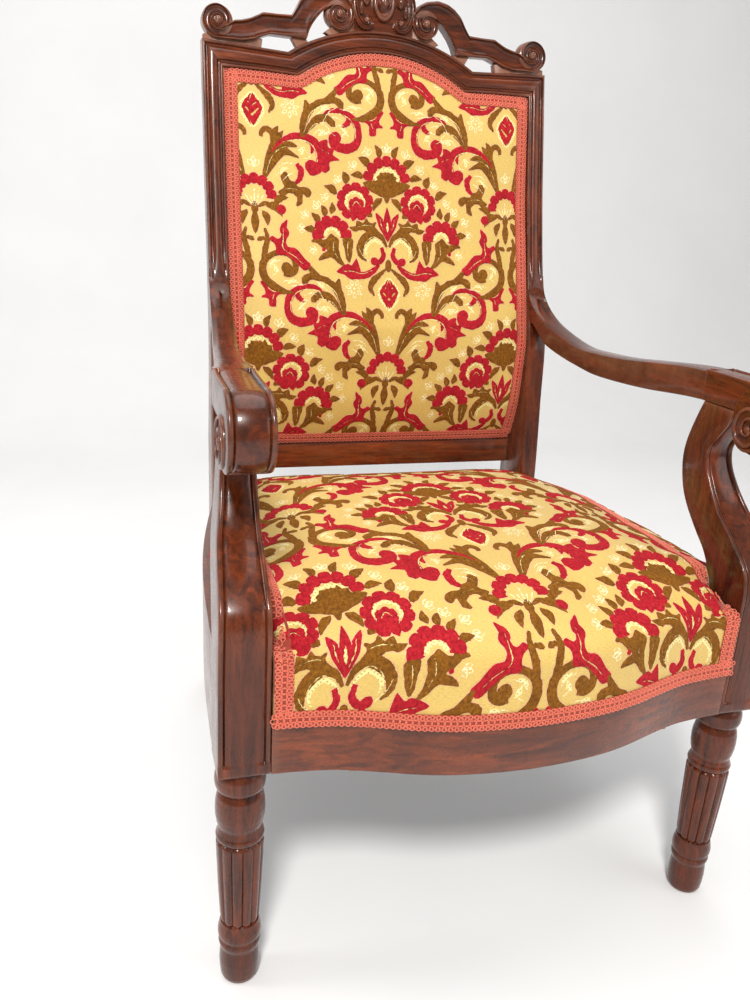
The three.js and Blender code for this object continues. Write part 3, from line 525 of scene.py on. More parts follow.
def drawn_thread(name, rgb, between):
    """The looped thread of the damask's drawn lines, with the ground showing between the loops."""
    g = Graph(name)
    cloth = g.coordinates.outputs["UV"]
    a = g.add("TexWave", {"Vector": cloth, "Scale": 118.0, "Distortion": 1.2, "Detail": 1.0},
              bands_direction="DIAGONAL").outputs["Fac"]
    b = g.add("TexWave", {"Vector": g.place(cloth, (-1, 1, 1)), "Scale": 100.0, "Distortion": 1.2,
                          "Detail": 1.0}, bands_direction="DIAGONAL").outputs["Fac"]
    loops = g.math("MULTIPLY", a, b)
    twist = g.noise(cloth, 900.0, 2.0)
    tone = g.ramp(twist, [(0.3, shade(rgb, 0.8)), (0.7, shade(rgb, 1.1))])
    tone = g.mix(g.ramp(loops, [(0.50, 0.0), (0.72, 0.75)]), tone, between)
    return g.done(Base_Color=tone, Roughness=0.6, Sheen_Weight=0.2,
                  Normal=g.bump(g.math("ADD", loops, twist), 0.5, 0.0006))


def gimp_braid(name="gimp_braid", amount=1.0):
    tones = finishes()
    g = Graph(name)
    where = g.coordinates.outputs["Object"]
    strands = g.noise(where, 900.0, 3.0, 0.65)
    patches = g.noise(where, 42.0, 3.0)
    tone = g.ramp(strands, [(0.3, shade(tones.gimp, 0.55)), (0.5, tones.gimp[:]),
                            (0.72, shade(tones.gimp, 1.30))])
    tone = g.mix(g.ramp(patches, [(0.35, 0.22), (0.65, 0.0)]), tone, shade(tones.gimp, 0.7))
    # An amount below 1 darkens the braid: painted shade, used for the tape under the links.
    tone = g.mix(1.0, tone, (amount, amount ** 1.5, amount ** 1.6), "MULTIPLY")
    return g.done(Base_Color=tone, Roughness=0.78, Sheen_Weight=0.3, Specular_IOR_Level=0.3,
                  Normal=g.bump(strands, 0.6, 0.0006))


def plain_floor():
    g = Graph("floor_paper")
    where = g.coordinates.outputs["Object"]
    grain = g.noise(where, 3.0, 3.0)
    return g.done(Base_Color=g.ramp(grain, [(0.3, (0.84, 0.84, 0.845)), (0.7, (0.87, 0.87, 0.872))]),
                  Roughness=0.7, Specular_IOR_Level=0.2)


KIT = {}


def material(name):
    """Each finish is made once and shared."""
    recipes = {
        "wood_x": lambda: polished_mahogany("x"),
        "wood_y": lambda: polished_mahogany("y"),
        "wood_z": lambda: polished_mahogany("z"),
        # The last figure scales the lightened edges, partly wear and partly painted highlight; the crest's
        # get the most.
        "crest": lambda: polished_mahogany("x", 0.92, 1.8),
        "rail_x": lambda: polished_mahogany("x", 1.45, 0.5),
        "timber": raw_timber,
        "steel": sprung_steel,
        "jute": lambda: woven_cloth("jute_webbing", (0.20, 0.125, 0.055), (0.44, 0.30, 0.15), 240.0),
        "hessian": lambda: woven_cloth("hessian", (0.17, 0.11, 0.055), (0.38, 0.27, 0.15), 420.0),
        "cambric": lambda: woven_cloth("black_cambric", (0.012, 0.012, 0.013), (0.035, 0.034, 0.034), 700.0),
        "satin": satin_ground,
        "crimson": lambda: cut_velvet("crimson_velvet", finishes().crimson[:], (0.72, 0.045, 0.05)),
        "olive": lambda: cut_velvet("olive_velvet", finishes().olive[:], (0.47, 0.205, 0.020)),
        "pale": lambda: drawn_thread("pale_gold_thread", (0.88, 0.74, 0.30), (0.36, 0.20, 0.03)),
        "outline": lambda: drawn_thread("ivory_thread", (0.92, 0.80, 0.46), (0.50, 0.26, 0.07)),
        "edge": lambda: drawn_thread("edge_thread", (0.80, 0.46, 0.27), (0.58, 0.20, 0.10)),
        "gimp": gimp_braid,
        # The tape under the links: the gimp darkened as painted shade.
        "gimp_ground_painted_shade": lambda: gimp_braid("gimp_ground_painted_shade", 0.42),
        "floor": plain_floor,
    }
    if name not in KIT:
        KIT[name] = recipes[name]()
    return KIT[name]


def refinish(node, name):
    """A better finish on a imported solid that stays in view."""
    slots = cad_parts[node].data.materials
    for i in range(len(slots)):
        slots[i] = material(name)


# ---- Turned front legs ----
LEG_PROFILE = [  # height as a share of the leg, radius
    (0, 16.5), (0.008, 19.0), (0.022, 20.4), (0.05, 21.2), (0.09, 21.6), (0.12, 21.2), (0.145, 20.6),
    (0.155, 20.3), (0.160, 21.0), (0.168, 21.9), (0.18, 22.5), (0.192, 22.2), (0.199, 21.2), (0.203, 21.3),
    (0.208, 22.6), (0.222, 23.2), (0.240, 23.0), (0.258, 22.0), (0.272, 20.9), (0.28, 20.6), (0.30, 21.0),
    (0.45, 23.0), (0.6, 24.5), (0.655, 24.9), (0.668, 24.4), (0.676, 23.8), (0.681, 24.7), (0.690, 25.1),
    (0.698, 24.6), (0.705, 23.6), (0.716, 22.9), (0.724, 22.3), (0.728, 22.0), (0.735, 22.7), (0.752, 24.2),
    (0.78, 25.3), (0.81, 25.6), (0.84, 25.1), (0.865, 23.8), (0.88, 21.9), (0.887, 21.0), (0.892, 21.9),
    (0.90, 24.2), (0.915, 25.6), (0.935, 26.1), (0.955, 25.6), (0.97, 24.2), (0.98, 22.8), (0.985, 22.4),
    (0.99, 23.5), (1.0, 24.6),
]
REEDS = 12
REED_LOW, REED_HIGH = 0.283, 0.670


def front_leg():
    """A turned leg with rounded reeds between two collars."""
    radius = profile(LEG_PROFILE)
    heights = sorted(set(list(np.linspace(0, 1, 110)) + [p[0] for p in LEG_PROFILE]))

    def reeded(along, plain, turns):
        share = along / LEG_TOP
        inside = min((share - REED_LOW) / 0.02, (REED_HIGH - share) / 0.02, 1.0)
        if inside <= 0:
            return np.full(len(turns), plain)
        across = np.abs(((turns * REEDS / (2 * np.pi)) % 1) * 2 - 1)
        head = math.sqrt(max(1 - (1 - inside) ** 2, 0))
        round_top = np.sqrt(np.maximum(1 - (across / max(head, 0.05)) ** 2, 0)) * head
        return plain - 2.6 * (1 - round_top)

    outline = [(share * LEG_TOP, float(radius(share))) for share in heights]
    return lathe(outline, (LEG_AXIS_X, 0, 0), sides=REEDS * 10, radius_at=reeded)


# ---- Arm supports and arms ----
CONSOLE_LINE = [
    (-28.5, 272, 25.5, 272), (-28.5, 330, 25.5, 330), (-28.5, 396, 25.5, 396), (-28.3, 419, 31, 411),
    (-24, 441, 42, 433), (-14.4, 454.3, 52.3, 446.5), (0.9, 468, 66, 458.5), (18.4, 482, 79, 470.5),
    (36.4, 495.5, 93, 485), (49.5, 509.5, 103.6, 499.5), (59.9, 523.5, 110.5, 515), (68.8, 537.5, 115, 532),
    (73.3, 551.5, 116, 548), (72.2, 563, 113.5, 563.5), (61, 579.5, 107, 583.5), (50, 594, 101, 598.5),
    (42, 612, 95, 612),
]
console_width = smooth_through([(272, 51.7), (427, 50.4), (484, 45.6), (532, 38), (612, 34.2)])
CONSOLE_FOOT = 272
PANEL_LOW, PANEL_FULL = 283.6, 286.6  # heights where the sunk panel begins and has its full depth


def show_face(width, strength=1.0):
    """Relief of a show-wood face: a bead along each edge, a quirk, and a swelling panel between.

    Gives (distance from the inner edge, depth of the cut) pairs.
    """
    edge = [(0.0, 2.6), (0.25, 1.5), (0.7, 0.6), (1.8, 0.05), (3.3, 0.05), (4.6, 0.7), (5.3, 1.9), (5.8, 3.2),
            (6.3, 3.4), (6.7, 2.2), (7.3, 1.75)]
    swell = [(7.3 + (width - 14.6) * t, 1.75 - 1.45 * (1 - (2 * t - 1) ** 2)) for t in
             np.linspace(0, 1, 13)[1:-1]]
    other = [(width - d, cut) for d, cut in edge[::-1]]
    plain = [0.9, 0.35, 0.1] + [0.0] * (len(edge) * 2 + len(swell) - 6) + [0.1, 0.35, 0.9]
    full = edge + swell + other
    return [(d, cut * strength + p * (1 - strength)) for (d, cut), p in zip(full, plain)]


def arm_support():
    """The console: a square block with a sunk panel that sweeps back and up under the scroll."""
    lines = np.array(CONSOLE_LINE, float)
    dense = smooth_path(lines, 84)
    low = np.array([(POST_FACE, z, BLOCK_BACK, z) for z in
                    (CONSOLE_FOOT, 273.2, 276, 281, PANEL_LOW, 284.0, PANEL_FULL, 287.2, 290, 297)])
    dense = np.concatenate([low, dense[dense[:, 1] > 301]])
    rings = []
    for front_y, front_z, back_y, back_z in dense:
        width = float(console_width(front_z))
        front, back = np.array([front_y, front_z]), np.array([back_y, back_z])
        depth = np.linalg.norm(back - front)
        inward = (back - front) / depth
        strength = float(smoothstep(front_z, PANEL_LOW, PANEL_FULL))
        if PANEL_LOW - 0.6 < front_z < PANEL_LOW + 0.6:
            strength = -0.25  # a small lip under the panel
        tuck = 1.6 * max(0.0, 1 - (front_z - CONSOLE_FOOT) / 2.0)
        ring = []
        for distance, cut in show_face(width, strength):
            y, z = front + inward * (cut + tuck)
            ring.append((POST_INNER + 0.3 + distance * (width - 0.3) / width, y, z))
        for share, inset in ((1.0, 1.6), (1 - 0.9 / width, 0.5), (1 - 2.4 / width, 0.0), (2.4 / width, 0.0),
                             (0.9 / width, 0.5), (0.0, 1.6)):
            y, z = back - inward * inset
            ring.append((POST_INNER + 0.3 + share * (width - 0.3), y, z))
        rings.append(ring)
    return loft(rings)


ARM_LINE = [  # y, top and underside, measured from the top of the scroll
    (519.7, 69.5, -3), (511, 46, -3), (497, 30, -8), (474, 15, -18), (446, 3, -28.4), (398, -10, -38.5),
    (355, -17, -44.5), (315.7, -17, -48.4), (258, -14.5, -47.8), (197, -8, -44.4), (140, -2, -38.8),
    (98, 0, -36), (60, 0, -36), (5, 0, -36),
]
ARM_STRAIGHT = 60  # y behind which the arm bends inwards
ARM_NECK, ARM_FRONT = 34.0, 42.0  # width behind the scroll, and of the scroll
PANEL_START = 98.0
arm_inner = smooth_through([(ARM_STRAIGHT, POST_INNER), (130, POST_INNER - 2), (300, 244),
                            (440, BACK_INNER + 4), (519, BACK_INNER)])
arm_width = smooth_through([(5, ARM_NECK), (PANEL_START, ARM_NECK), (300, 31), (519, STILE)])


def volute(side):
    """The raised spiral on a cheek of the scroll. side is 1 on the outer cheek and -1 on the inner one."""
    face = (POST_INNER + ARM_FRONT) if side > 0 else POST_INNER
    centre = (14.0, 598.0)
    cheek = [(0.0, 24.6), (1.6, 24.6), (2.6, 23.6), (3.0, 21.8), (2.4, 20.4), (1.6, 19.4), (1.4, 2.0)]
    body = lathe([(side * out, radius) for out, radius in cheek], (face, *centre), axis="x", sides=56)
    turns = np.linspace(0, 1, 70)
    angle = np.radians(100 - 620 * turns)
    reach = 22.4 * (1 - turns) ** 0.85 * 0.86 + 3.2
    path = np.stack([np.full(70, face + side * 2.3), centre[0] + reach * np.cos(angle),
                     centre[1] + reach * np.sin(angle)], 1)
    ridge = tube(path, np.interp(turns, [0, 0.1, 1], [1.0, 2.5, 1.5]), 10)
    eye = dome((face + side * 2.3, *centre), (2.6, 4.4, 4.4))
    return [body, ridge, eye]


def arm():
    """The arm: a swept bar that ends in a scroll with a panelled front and spiral cheeks."""
    line = np.array(ARM_LINE, float)
    dense = smooth_path(line, 90)
    dense = dense[dense[:, 0] > PANEL_START + 2]
    level = [(y, 0.0, -ARM_THICK) for y in (PANEL_START + 1.2, PANEL_START, PANEL_START - 2.2,
                                            *np.linspace(PANEL_START - 5, 3, 12))]
    rings = []
    for y, top, under in [*dense, *level]:
        inner = float(arm_inner(max(y, ARM_STRAIGHT)))
        spread_out = 1 - float(smoothstep(y, PANEL_START - 4, PANEL_START + 70))
        width = float(arm_width(y)) + (ARM_FRONT - ARM_NECK) * spread_out
        lean = min(max((y - 440) / 70, 0.0), 1.0)
        strength = 1.0 if y < PANEL_START - 2 else -0.35 if y < PANEL_START + 0.5 else 0.0
        ring = []
        for distance, cut in show_face(width, strength):
            if strength == 0:
                cut = 2.4 * abs(2 * distance / width - 1) ** 3.0
            ring.append((inner + distance, y, ARM_TOP + top - cut))
        for share, inset in ((1, 2.5), (1 - 0.8 / width, 0.9), (1 - 2.6 / width, 0), (2.6 / width, 0),
                             (0.8 / width, 0.9), (0, 2.5)):
            ring.append((inner + share * width, y - lean * 23, ARM_TOP + under + inset))
        rings.append(ring)
    relief = [(d, SCROLL_RADIUS - cut) for d, cut in show_face(ARM_FRONT)]
    wider = (ARM_FRONT + 0.8) / ARM_FRONT
    drum = lathe([(0.0, 20.0), *((d * wider, r) for d, r in relief), (ARM_FRONT + 0.8, 20.0)],
                 (POST_INNER - 0.4, SCROLL_Y, SCROLL_Z), axis="x", sides=96)
    lip_angle = math.radians(262)
    lip_y = SCROLL_Y + (SCROLL_RADIUS - 1.2) * math.cos(lip_angle)
    lip_z = SCROLL_Z + (SCROLL_RADIUS - 1.2) * math.sin(lip_angle)
    lip = tube([(POST_INNER + x, lip_y, lip_z) for x in np.linspace(1.5, ARM_FRONT - 1.5, 6)], 2.0, 12)
    return together(loft(rings), drum, lip, *volute(1), *volute(-1))


# ---- Back posts and top rail ----
MOULDING = [  # share of the width from the inner edge, depth of the cut
    (0, 4.2), (0.012, 2.6), (0.03, 1.1), (0.055, 0.45), (0.08, 0.3), (0.105, 0.55), (0.125, 1.3),
    (0.145, 2.6), (0.165, 3.6), (0.19, 4.0), (0.22, 3.9), (0.25, 3.3), (0.275, 2.3), (0.30, 1.3),
    (0.34, 0.6), (0.40, 0.15), (0.47, 0), (0.54, 0.05), (0.61, 0.4), (0.66, 1.0), (0.70, 1.9),
    (0.73, 3.1), (0.76, 3.9), (0.79, 4.1), (0.82, 3.7), (0.845, 2.7), (0.865, 1.4), (0.89, 0.6),
    (0.92, 0.3), (0.95, 0.5), (0.975, 1.4), (1, 3.6),
]


def rear_post():
    """Sabre leg and moulded stile in one piece, mitred against the top rail."""
    levels = [*np.linspace(0, ARM_JOINT - 30, 42), *np.linspace(ARM_JOINT - 20, ARM_JOINT + 70, 16),
              *np.linspace(ARM_JOINT + 85, CORNER - TOP_RAIL - 14, 18)]
    rings = []
    for level in [*levels, None]:
        height = (lambda s: CORNER - (TOP_RAIL + 4) * (1 - s) - 0.4) if level is None else (lambda s: level)
        carved = 1.0 if level is None else float(smoothstep(level, ARM_JOINT + 12, ARM_JOINT + 58))
        ring = []
        for share, cut in MOULDING:
            z = height(share)
            plain = 1.3 * abs(2 * share - 1) ** 12
            ring.append((BACK_INNER + share * STILE, post_front(z) + cut * carved + plain * (1 - carved), z))
        for share, inset in ((1, 1.5), (0.97, 0.4), (0.9, 0), (0.1, 0), (0.03, 0.4), (0, 1.5)):
            z = height(share)
            ring.append((BACK_INNER + share * STILE, post_back(z) - inset, z))
        rings.append(ring)
    return loft(rings)


def top_rail():
    """The arched rail, with the posts' moulding carried round at the mitres."""
    ends = np.linspace(-BACK_OUTER + 0.15, -ARCH_HALF, 10)
    arch = np.linspace(-ARCH_HALF, ARCH_HALF, 58)[1:-1]
    rings = []
    for x in [*ends, *arch, *(-ends[::-1])]:
        outer = np.array([x, float(arch_edge(x))])
        xi = x * BACK_INNER / BACK_OUTER
        inner = np.array([xi, float(arch_inner(xi))])
        ring = []
        for share, cut in MOULDING:
            px, pz = inner + (outer - inner) * share
            ring.append((px, post_front(pz) + cut, pz))
        for share, inset in ((1, 1.5), (0.96, 0.3), (0.04, 0.3), (0, 1.5)):
            px, pz = inner + (outer - inner) * share
            ring.append((px, post_back(pz) - inset, pz))
        rings.append(ring)
    return loft(rings)


# ---- Carved crest ----
CREST_LEAN = 0.19
crest_front = lambda z: post_front(CORNER) + CREST_LEAN * (np.asarray(z, float) - CORNER)
BAND_UPPER = [
    (212, 1033), (202, 1034.5), (190, 1038), (180, 1043), (173, 1047), (152, 1047), (131.5, 1048),
    (126, 1057), (118.5, 1071.5), (109, 1080.5), (98, 1086.5), (83, 1089.5), (65, 1086), (53, 1079.5),
    (44, 1068),
]
BAND_LOWER = [
    (215, 1007.5), (208, 1007.2), (202, 1007.5), (187, 1010.5), (174, 1016), (163, 1020), (138, 1019.5),
    (112, 1019), (108.5, 1030), (103, 1040), (97, 1048), (90.5, 1055.5), (83, 1062), (76, 1066), (68, 1067),
]
TROUGH = [  # share of the band's width, depth of the cut
    (0, 3.4), (0.01, 1.6), (0.03, 0.45), (0.055, 0.0), (0.085, 0.0), (0.105, 0.5), (0.12, 2.0), (0.15, 3.4),
    (0.23, 5.0), (0.35, 6.3), (0.5, 6.8), (0.65, 6.3), (0.77, 5.0), (0.85, 3.4), (0.88, 2.0), (0.895, 0.5),
    (0.915, 0.0), (0.945, 0.0), (0.97, 0.45), (0.99, 1.6), (1, 3.4),
]


def ribbon(lower, upper, relief=TROUGH, lift=0.0, depth=CREST_DEPTH, full_width=20.0):
    """A carved band between two edge lines in the plane of the crest."""
    rings = []
    lifts = np.broadcast_to(lift, len(lower))
    for low, high, raised in zip(np.asarray(lower, float), np.asarray(upper, float), lifts):
        scale = min(1.0, np.linalg.norm(high - low) / full_width)
        ring = []
        for share, cut in relief:
            x, z = low + (high - low) * share
            ring.append((x, crest_front(z) + cut * scale - raised, z))
        for share in (1, 0):
            x, z = low + (high - low) * share
            ring.append((x, crest_front(z) + depth, z))
        rings.append(ring)
    return loft(rings)


def along_line(points, count):
    """Evenly spaced points along a straight-sided line."""
    points = np.asarray(points, float)
    reach = run_length(points)
    at = np.linspace(0, reach[-1], count)
    return np.stack([np.interp(at, reach, points[:, k]) for k in (0, 1)], 1)


def spiral_edges(centre, start, stop, outer, inner, count=64):
    """Outer and inner edges of a scroll, from one angle to another in degrees."""
    turn = np.linspace(start, stop, count)
    angle = np.radians(turn)
    rim = np.stack([np.cos(angle), np.sin(angle)], 1)
    return (np.asarray(centre) + rim * outer(turn)[:, None], np.asarray(centre) + rim * inner(turn)[:, None])


def disc_plate(centre, radius, cut, depth, sides=40):
    turns = np.linspace(0, 2 * np.pi, sides, endpoint=False)
    rim = np.stack([centre[0] + radius * np.cos(turns), centre[1] + radius * np.sin(turns)], 1)
    return plate(rim, cut, depth)


def plate(outline, cut, depth):
    """A flat board in the plane of the crest, its front edge eased."""
    outline = np.asarray(outline, float)
    middle = outline.mean(0)
    rings = []
    for inset, back in ((1.0, 0.0), (0.0, 1.0), (0.0, depth)):
        reach = np.linalg.norm(outline - middle, axis=1)[:, None]
        ring = outline + (middle - outline) / reach * inset
        rings.append(np.stack([ring[:, 0], crest_front(ring[:, 1]) + cut + back, ring[:, 1]], 1))
    return loft(rings)


def crest_half():
    """The right half of the crest: two scrolls joined by a hollow band, and what lies round them."""
    outer_c, inner_c = (235.0, 1030.5), (65.0, 1056.0)
    # The far scroll, from its eye out to the band.
    rim = profile([(-90, 22.6), (0, 21.6), (90, 20.6), (180, 16.5), (270, 11.5), (360, 8.2), (450, 6.2)])
    core = profile([(-90, 11.5), (0, 8.6), (90, 6.6), (180, 5.4), (270, 4.4), (360, 3.8), (450, 3.0)])
    far_outer, far_inner = spiral_edges(outer_c, 440, -84, rim, core)
    # The near scroll, from the band in to its eye.
    near_rim = profile([(135, 24), (180, 21.5), (270, 20.5), (360, 15.5), (450, 11), (540, 7.5), (600, 6)])
    near_core = profile([(100, 12), (180, 10.5), (270, 9), (360, 6.5), (450, 5), (540, 4), (600, 3)])
    near_outer, near_inner = spiral_edges(inner_c, 150, 600, near_rim, near_core)
    upper = along_line(BAND_UPPER, 70)
    lower = along_line(BAND_LOWER, 70)
    proud = np.concatenate([np.linspace(2.4, 0.6, 64), np.linspace(0.6, 0, 30), np.zeros(14),
                            np.linspace(0, 0.6, 26), np.linspace(0.6, 2.4, 64)])
    # Round the far scroll the band's lower edge is the scroll's rim.
    low_line = np.concatenate([far_outer, lower, near_inner])
    high_line = np.concatenate([far_inner, upper, near_outer])
    band = ribbon(low_line, high_line, lift=proud)
    eyes = [dome((x, float(crest_front(z)) - 1.2, z), (5.2, 3.6, 5.2)) for x, z in (outer_c, inner_c)]
    backs = [disc_plate(outer_c, 20.6, 3.5, CREST_DEPTH - 5), disc_plate(inner_c, 19.5, 3.5, CREST_DEPTH - 5)]
    ground = plate([(BACK_OUTER - 2, 1001), (BACK_OUTER - 2, 1012), (235, 1016), (205, 1013), (184, 1016),
                    (174, 1013), (176, 1000), (206, 998)], 5.4, CREST_DEPTH - 9)
    foot = plate([(34, 1031), (72, 1024), (86, 1031), (72, 1042), (40, 1048)], 6.4, CREST_DEPTH - 10)
    spur = plate([(112, 1019.5), (134, 1019.5), (124, 1003), (106, 1010)], 6.2, CREST_DEPTH - 10)
    # The small scroll beside the boss.
    stem = smooth_path([(30, 1101), (39, 1092), (43.5, 1078), (42, 1062), (35, 1048), (26, 1043.5),
                        (18.5, 1048), (19.5, 1055.5), (25, 1057)], 60)
    half_width = np.interp(np.linspace(0, 1, 60), [0, 0.25, 0.7, 1], [1.6, 4.4, 4.0, 1.8])[:, None]
    heading = headings(stem)
    across = np.stack([-heading[:, 1], heading[:, 0]], 1) * half_width
    small = ribbon(stem - across, stem + across, lift=1.6, depth=12, full_width=14.0)
    bead = dome((25.2, float(crest_front(1052)) - 1.6, 1052), (3.6, 3.4, 3.6))
    berry = dome((25.5, float(crest_front(1079)) + 0.2, 1079), (4.4, 4.2, 7.6))
    leaf_tip = dome((33.0, float(crest_front(1066)) + 1.0, 1067), (3.2, 3.0, 8.0))
    return together(band, *eyes, *backs, ground, foot, spur, small, bead, berry, leaf_tip)


def hatched_ground():
    """The plaque behind the boss, cut with fine crossing lines."""
    xs, zs = np.linspace(-45, 45, 76), np.linspace(1032, 1109, 66)
    half = profile([(1032, 40), (1040, 45), (1062, 45), (1082, 40), (1097, 29), (1106, 16), (1109, 8)])
    rings = []
    for z in zs:
        share = xs / 45.0
        x = share * half(z)
        hatch = 0.55 * np.abs(np.sin(np.pi * (x + z) / 3.4)) ** 0.6 + 0.55 * np.abs(
            np.sin(np.pi * (x - z) / 3.4)) ** 0.6
        front = np.stack([x, crest_front(z) + 5.2 - hatch, np.full(len(x), z)], 1)
        back = np.stack([x[::-1], np.full(len(x), crest_front(z) + CREST_DEPTH - 3), np.full(len(x), z)], 1)
        rings.append(np.concatenate([front, back]))
    return loft(rings)


def boss():
    """The oval boss: a rolled rim round a hollow with a long drop in it."""
    z = 1080.0
    y = float(crest_front(z)) + 2.0
    rim = [(0.0, 1.00), (-3.0, 0.985), (-5.2, 0.90), (-5.8, 0.80), (-5.0, 0.70), (-3.2, 0.62), (-2.6, 0.56),
           (-3.2, 0.50), (-5.6, 0.42), (-7.4, 0.30), (-8.2, 0.15), (-8.4, 0.02)]
    turns = np.linspace(0, 2 * np.pi, 48, endpoint=False)
    rings = [np.stack([16.5 * r * np.cos(turns), np.full(48, y + d), z + 27 * r * np.sin(turns)], 1)
             for d, r in rim]
    for ring in rings:
        ring[:, 1] += CREST_LEAN * (ring[:, 2] - z)
    back = rings[0] + (0, 6.0, 0)
    slot = tube([(0.0, y - 8.3 + CREST_LEAN * d, z + d) for d in np.linspace(-7, 9, 9)],
                [0.6, 1.2, 1.5, 1.5, 1.4, 1.3, 1.1, 0.9, 0.5], 8)
    return together(loft([back, *rings]), slot)


# ---- Rails ----
def eased_rail(path_front, path_back, low, high, ease=1.2):
    """A rail between a front and a back line in plan, its long edges eased."""
    rings = []
    for (fx, fy), (bx, by) in zip(path_front, path_back):
        front, back = np.array([fx, fy]), np.array([bx, by])
        inward = (back - front) / np.linalg.norm(back - front)
        ring = []
        for base, sign in ((front, 1), (back, -1)):
            steps = [(low, ease), (low + 0.3 * ease, 0.3 * ease), (low + ease, 0.0), (high - ease, 0.0),
                     (high - 0.3 * ease, 0.3 * ease), (high, ease)]
            for z, inset in steps if sign > 0 else steps[::-1]:
                x, y = base + inward * inset * sign
                ring.append((x, y, z))
        rings.append(ring)
    return loft(rings)


def front_rail():
    xs = np.linspace(-POST_INNER + 0.3, POST_INNER - 0.3, 57)
    return eased_rail([(x, float(bow_front(x))) for x in xs],
                      [(x, float(bow_front(x)) + RAIL_THICK) for x in xs], LEG_TOP, RAIL_TOP)


def side_rail():
    ys = np.linspace(BLOCK_BACK + 0.3, SEAT_DEPTH + 3, 30)
    outer = side_outer(ys) - 1
    return eased_rail(list(zip(outer, ys)), list(zip(outer - RAIL_THICK, ys)), LEG_TOP, RAIL_TOP)


def lower_rail():
    low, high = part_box("back_lower_rail")
    xs = np.linspace(-BACK_INNER + 0.3, BACK_INNER - 0.3, 13)
    front = (low.y - LEG_AXIS_Y) / MM
    back = (high.y - LEG_AXIS_Y) / MM
    return eased_rail([(x, front) for x in xs], [(x, back) for x in xs], LOWER_RAIL_LOW, LOWER_RAIL_TOP, 1.6)


# ---- Damask: shapes of the cut velvet ----
# Measured in millimetres on the flat cloth, from the axis of the bouquet and up along the piece.
def petals(x, y, inner, outer, start, stop, lobes):
    """A fan or ring of round lobes."""
    turn = np.radians(np.linspace(start, stop, lobes * 9 + 1))
    share = np.linspace(0, lobes, lobes * 9 + 1) % 1
    reach = outer * (0.84 + 0.16 * np.sqrt(np.maximum(1 - (2 * share - 1) ** 2, 0)))
    rim = np.stack([x + reach * np.cos(turn), y + reach * np.sin(turn)], 1)
    back = np.radians(np.linspace(stop, start, lobes * 4 + 1))
    wave = inner * (1 + 0.07 * np.cos(back * lobes * 2))
    return np.concatenate([rim, np.stack([x + wave * np.cos(back), y + wave * np.sin(back)], 1)])


def leaf(x, y, angle, size, wide, bend=0.12):
    """A pointed leaf, with a little curl to one side."""
    t = np.linspace(0, 1, 9)
    half = wide / 2 * np.sin(np.pi * t ** 0.8) ** 0.9
    curve = bend * size * np.sin(np.pi * t)
    side = np.concatenate([np.stack([(t - 0.5) * size, curve + half], 1),
                           np.stack([(t - 0.5) * size, curve - half], 1)[::-1][1:-1]])
    a = math.radians(angle)
    return np.stack([x + side[:, 0] * math.cos(a) - side[:, 1] * math.sin(a),
                     y + side[:, 0] * math.sin(a) + side[:, 1] * math.cos(a)], 1)


def disc(x, y, radius, tall=1.0):
    t = np.linspace(0, 2 * np.pi, 14, endpoint=False)
    return np.stack([x + radius * np.cos(t), y + radius * tall * np.sin(t)], 1)


def stroke(points, widths):
    """A brush stroke that swells and tapers along a smooth line."""
    steps = max(len(points) * 5, 12)
    middle = smooth_path(points, steps)
    width = np.interp(np.linspace(0, 1, steps), np.linspace(0, 1, len(widths)), widths)
    heading = headings(middle)
    side = np.stack([-heading[:, 1], heading[:, 0]], 1) * width[:, None] / 2
    cap = heading[-1] * width[-1] / 2
    return np.concatenate([middle + side, [middle[-1] + cap], (middle - side)[::-1]])


def blob(*points):
    """A smooth closed shape through the given points."""
    loop = np.array([*points, *points[:3]], float)
    out = []
    for a, b, c, d in zip(loop, loop[1:], loop[2:], loop[3:]):
        for t in np.linspace(0, 1, 4)[:-1]:
            out.append(0.5 * (2 * b + (c - a) * t + (2 * a - 5 * b + 4 * c - d) * t * t
                              + (3 * b - a - 3 * c + d) * t ** 3))
    return np.array(out)


def sprig(x, y, angle, size=13.0):
    """A drawn tulip: three loops of thread."""
    out = []
    for lean, reach in ((-38, 0.8), (0, 1.0), (38, 0.8)):
        a = math.radians(angle + lean)
        tip = (x + size * reach * math.cos(a), y + size * reach * math.sin(a))
        for side in (-1, 1):
            b = a + side * 0.42
            belly = (x + size * 0.55 * math.cos(b), y + size * 0.55 * math.sin(b))
            out.append(("outline", stroke([(x, y), belly, tip], [0.9, 1.1, 0.8])))
    return out


def daisy(x, y, size=15.0):
    """A small drawn flower: seven open petals round a dot."""
    out = []
    for k in range(7):
        angle = k * 360 / 7 + 12
        a = math.radians(angle)
        middle = (x + size * 0.62 * math.cos(a), y + size * 0.62 * math.sin(a))
        rim = leaf(*middle, angle, size * 0.62, 5.4, 0.02)
        hole = leaf(*middle, angle, size * 0.42, 3.2, 0.02)
        out += [("outline", rim), ("satin", hole)]
    return out + [("outline", disc(x, y, 1.8))]


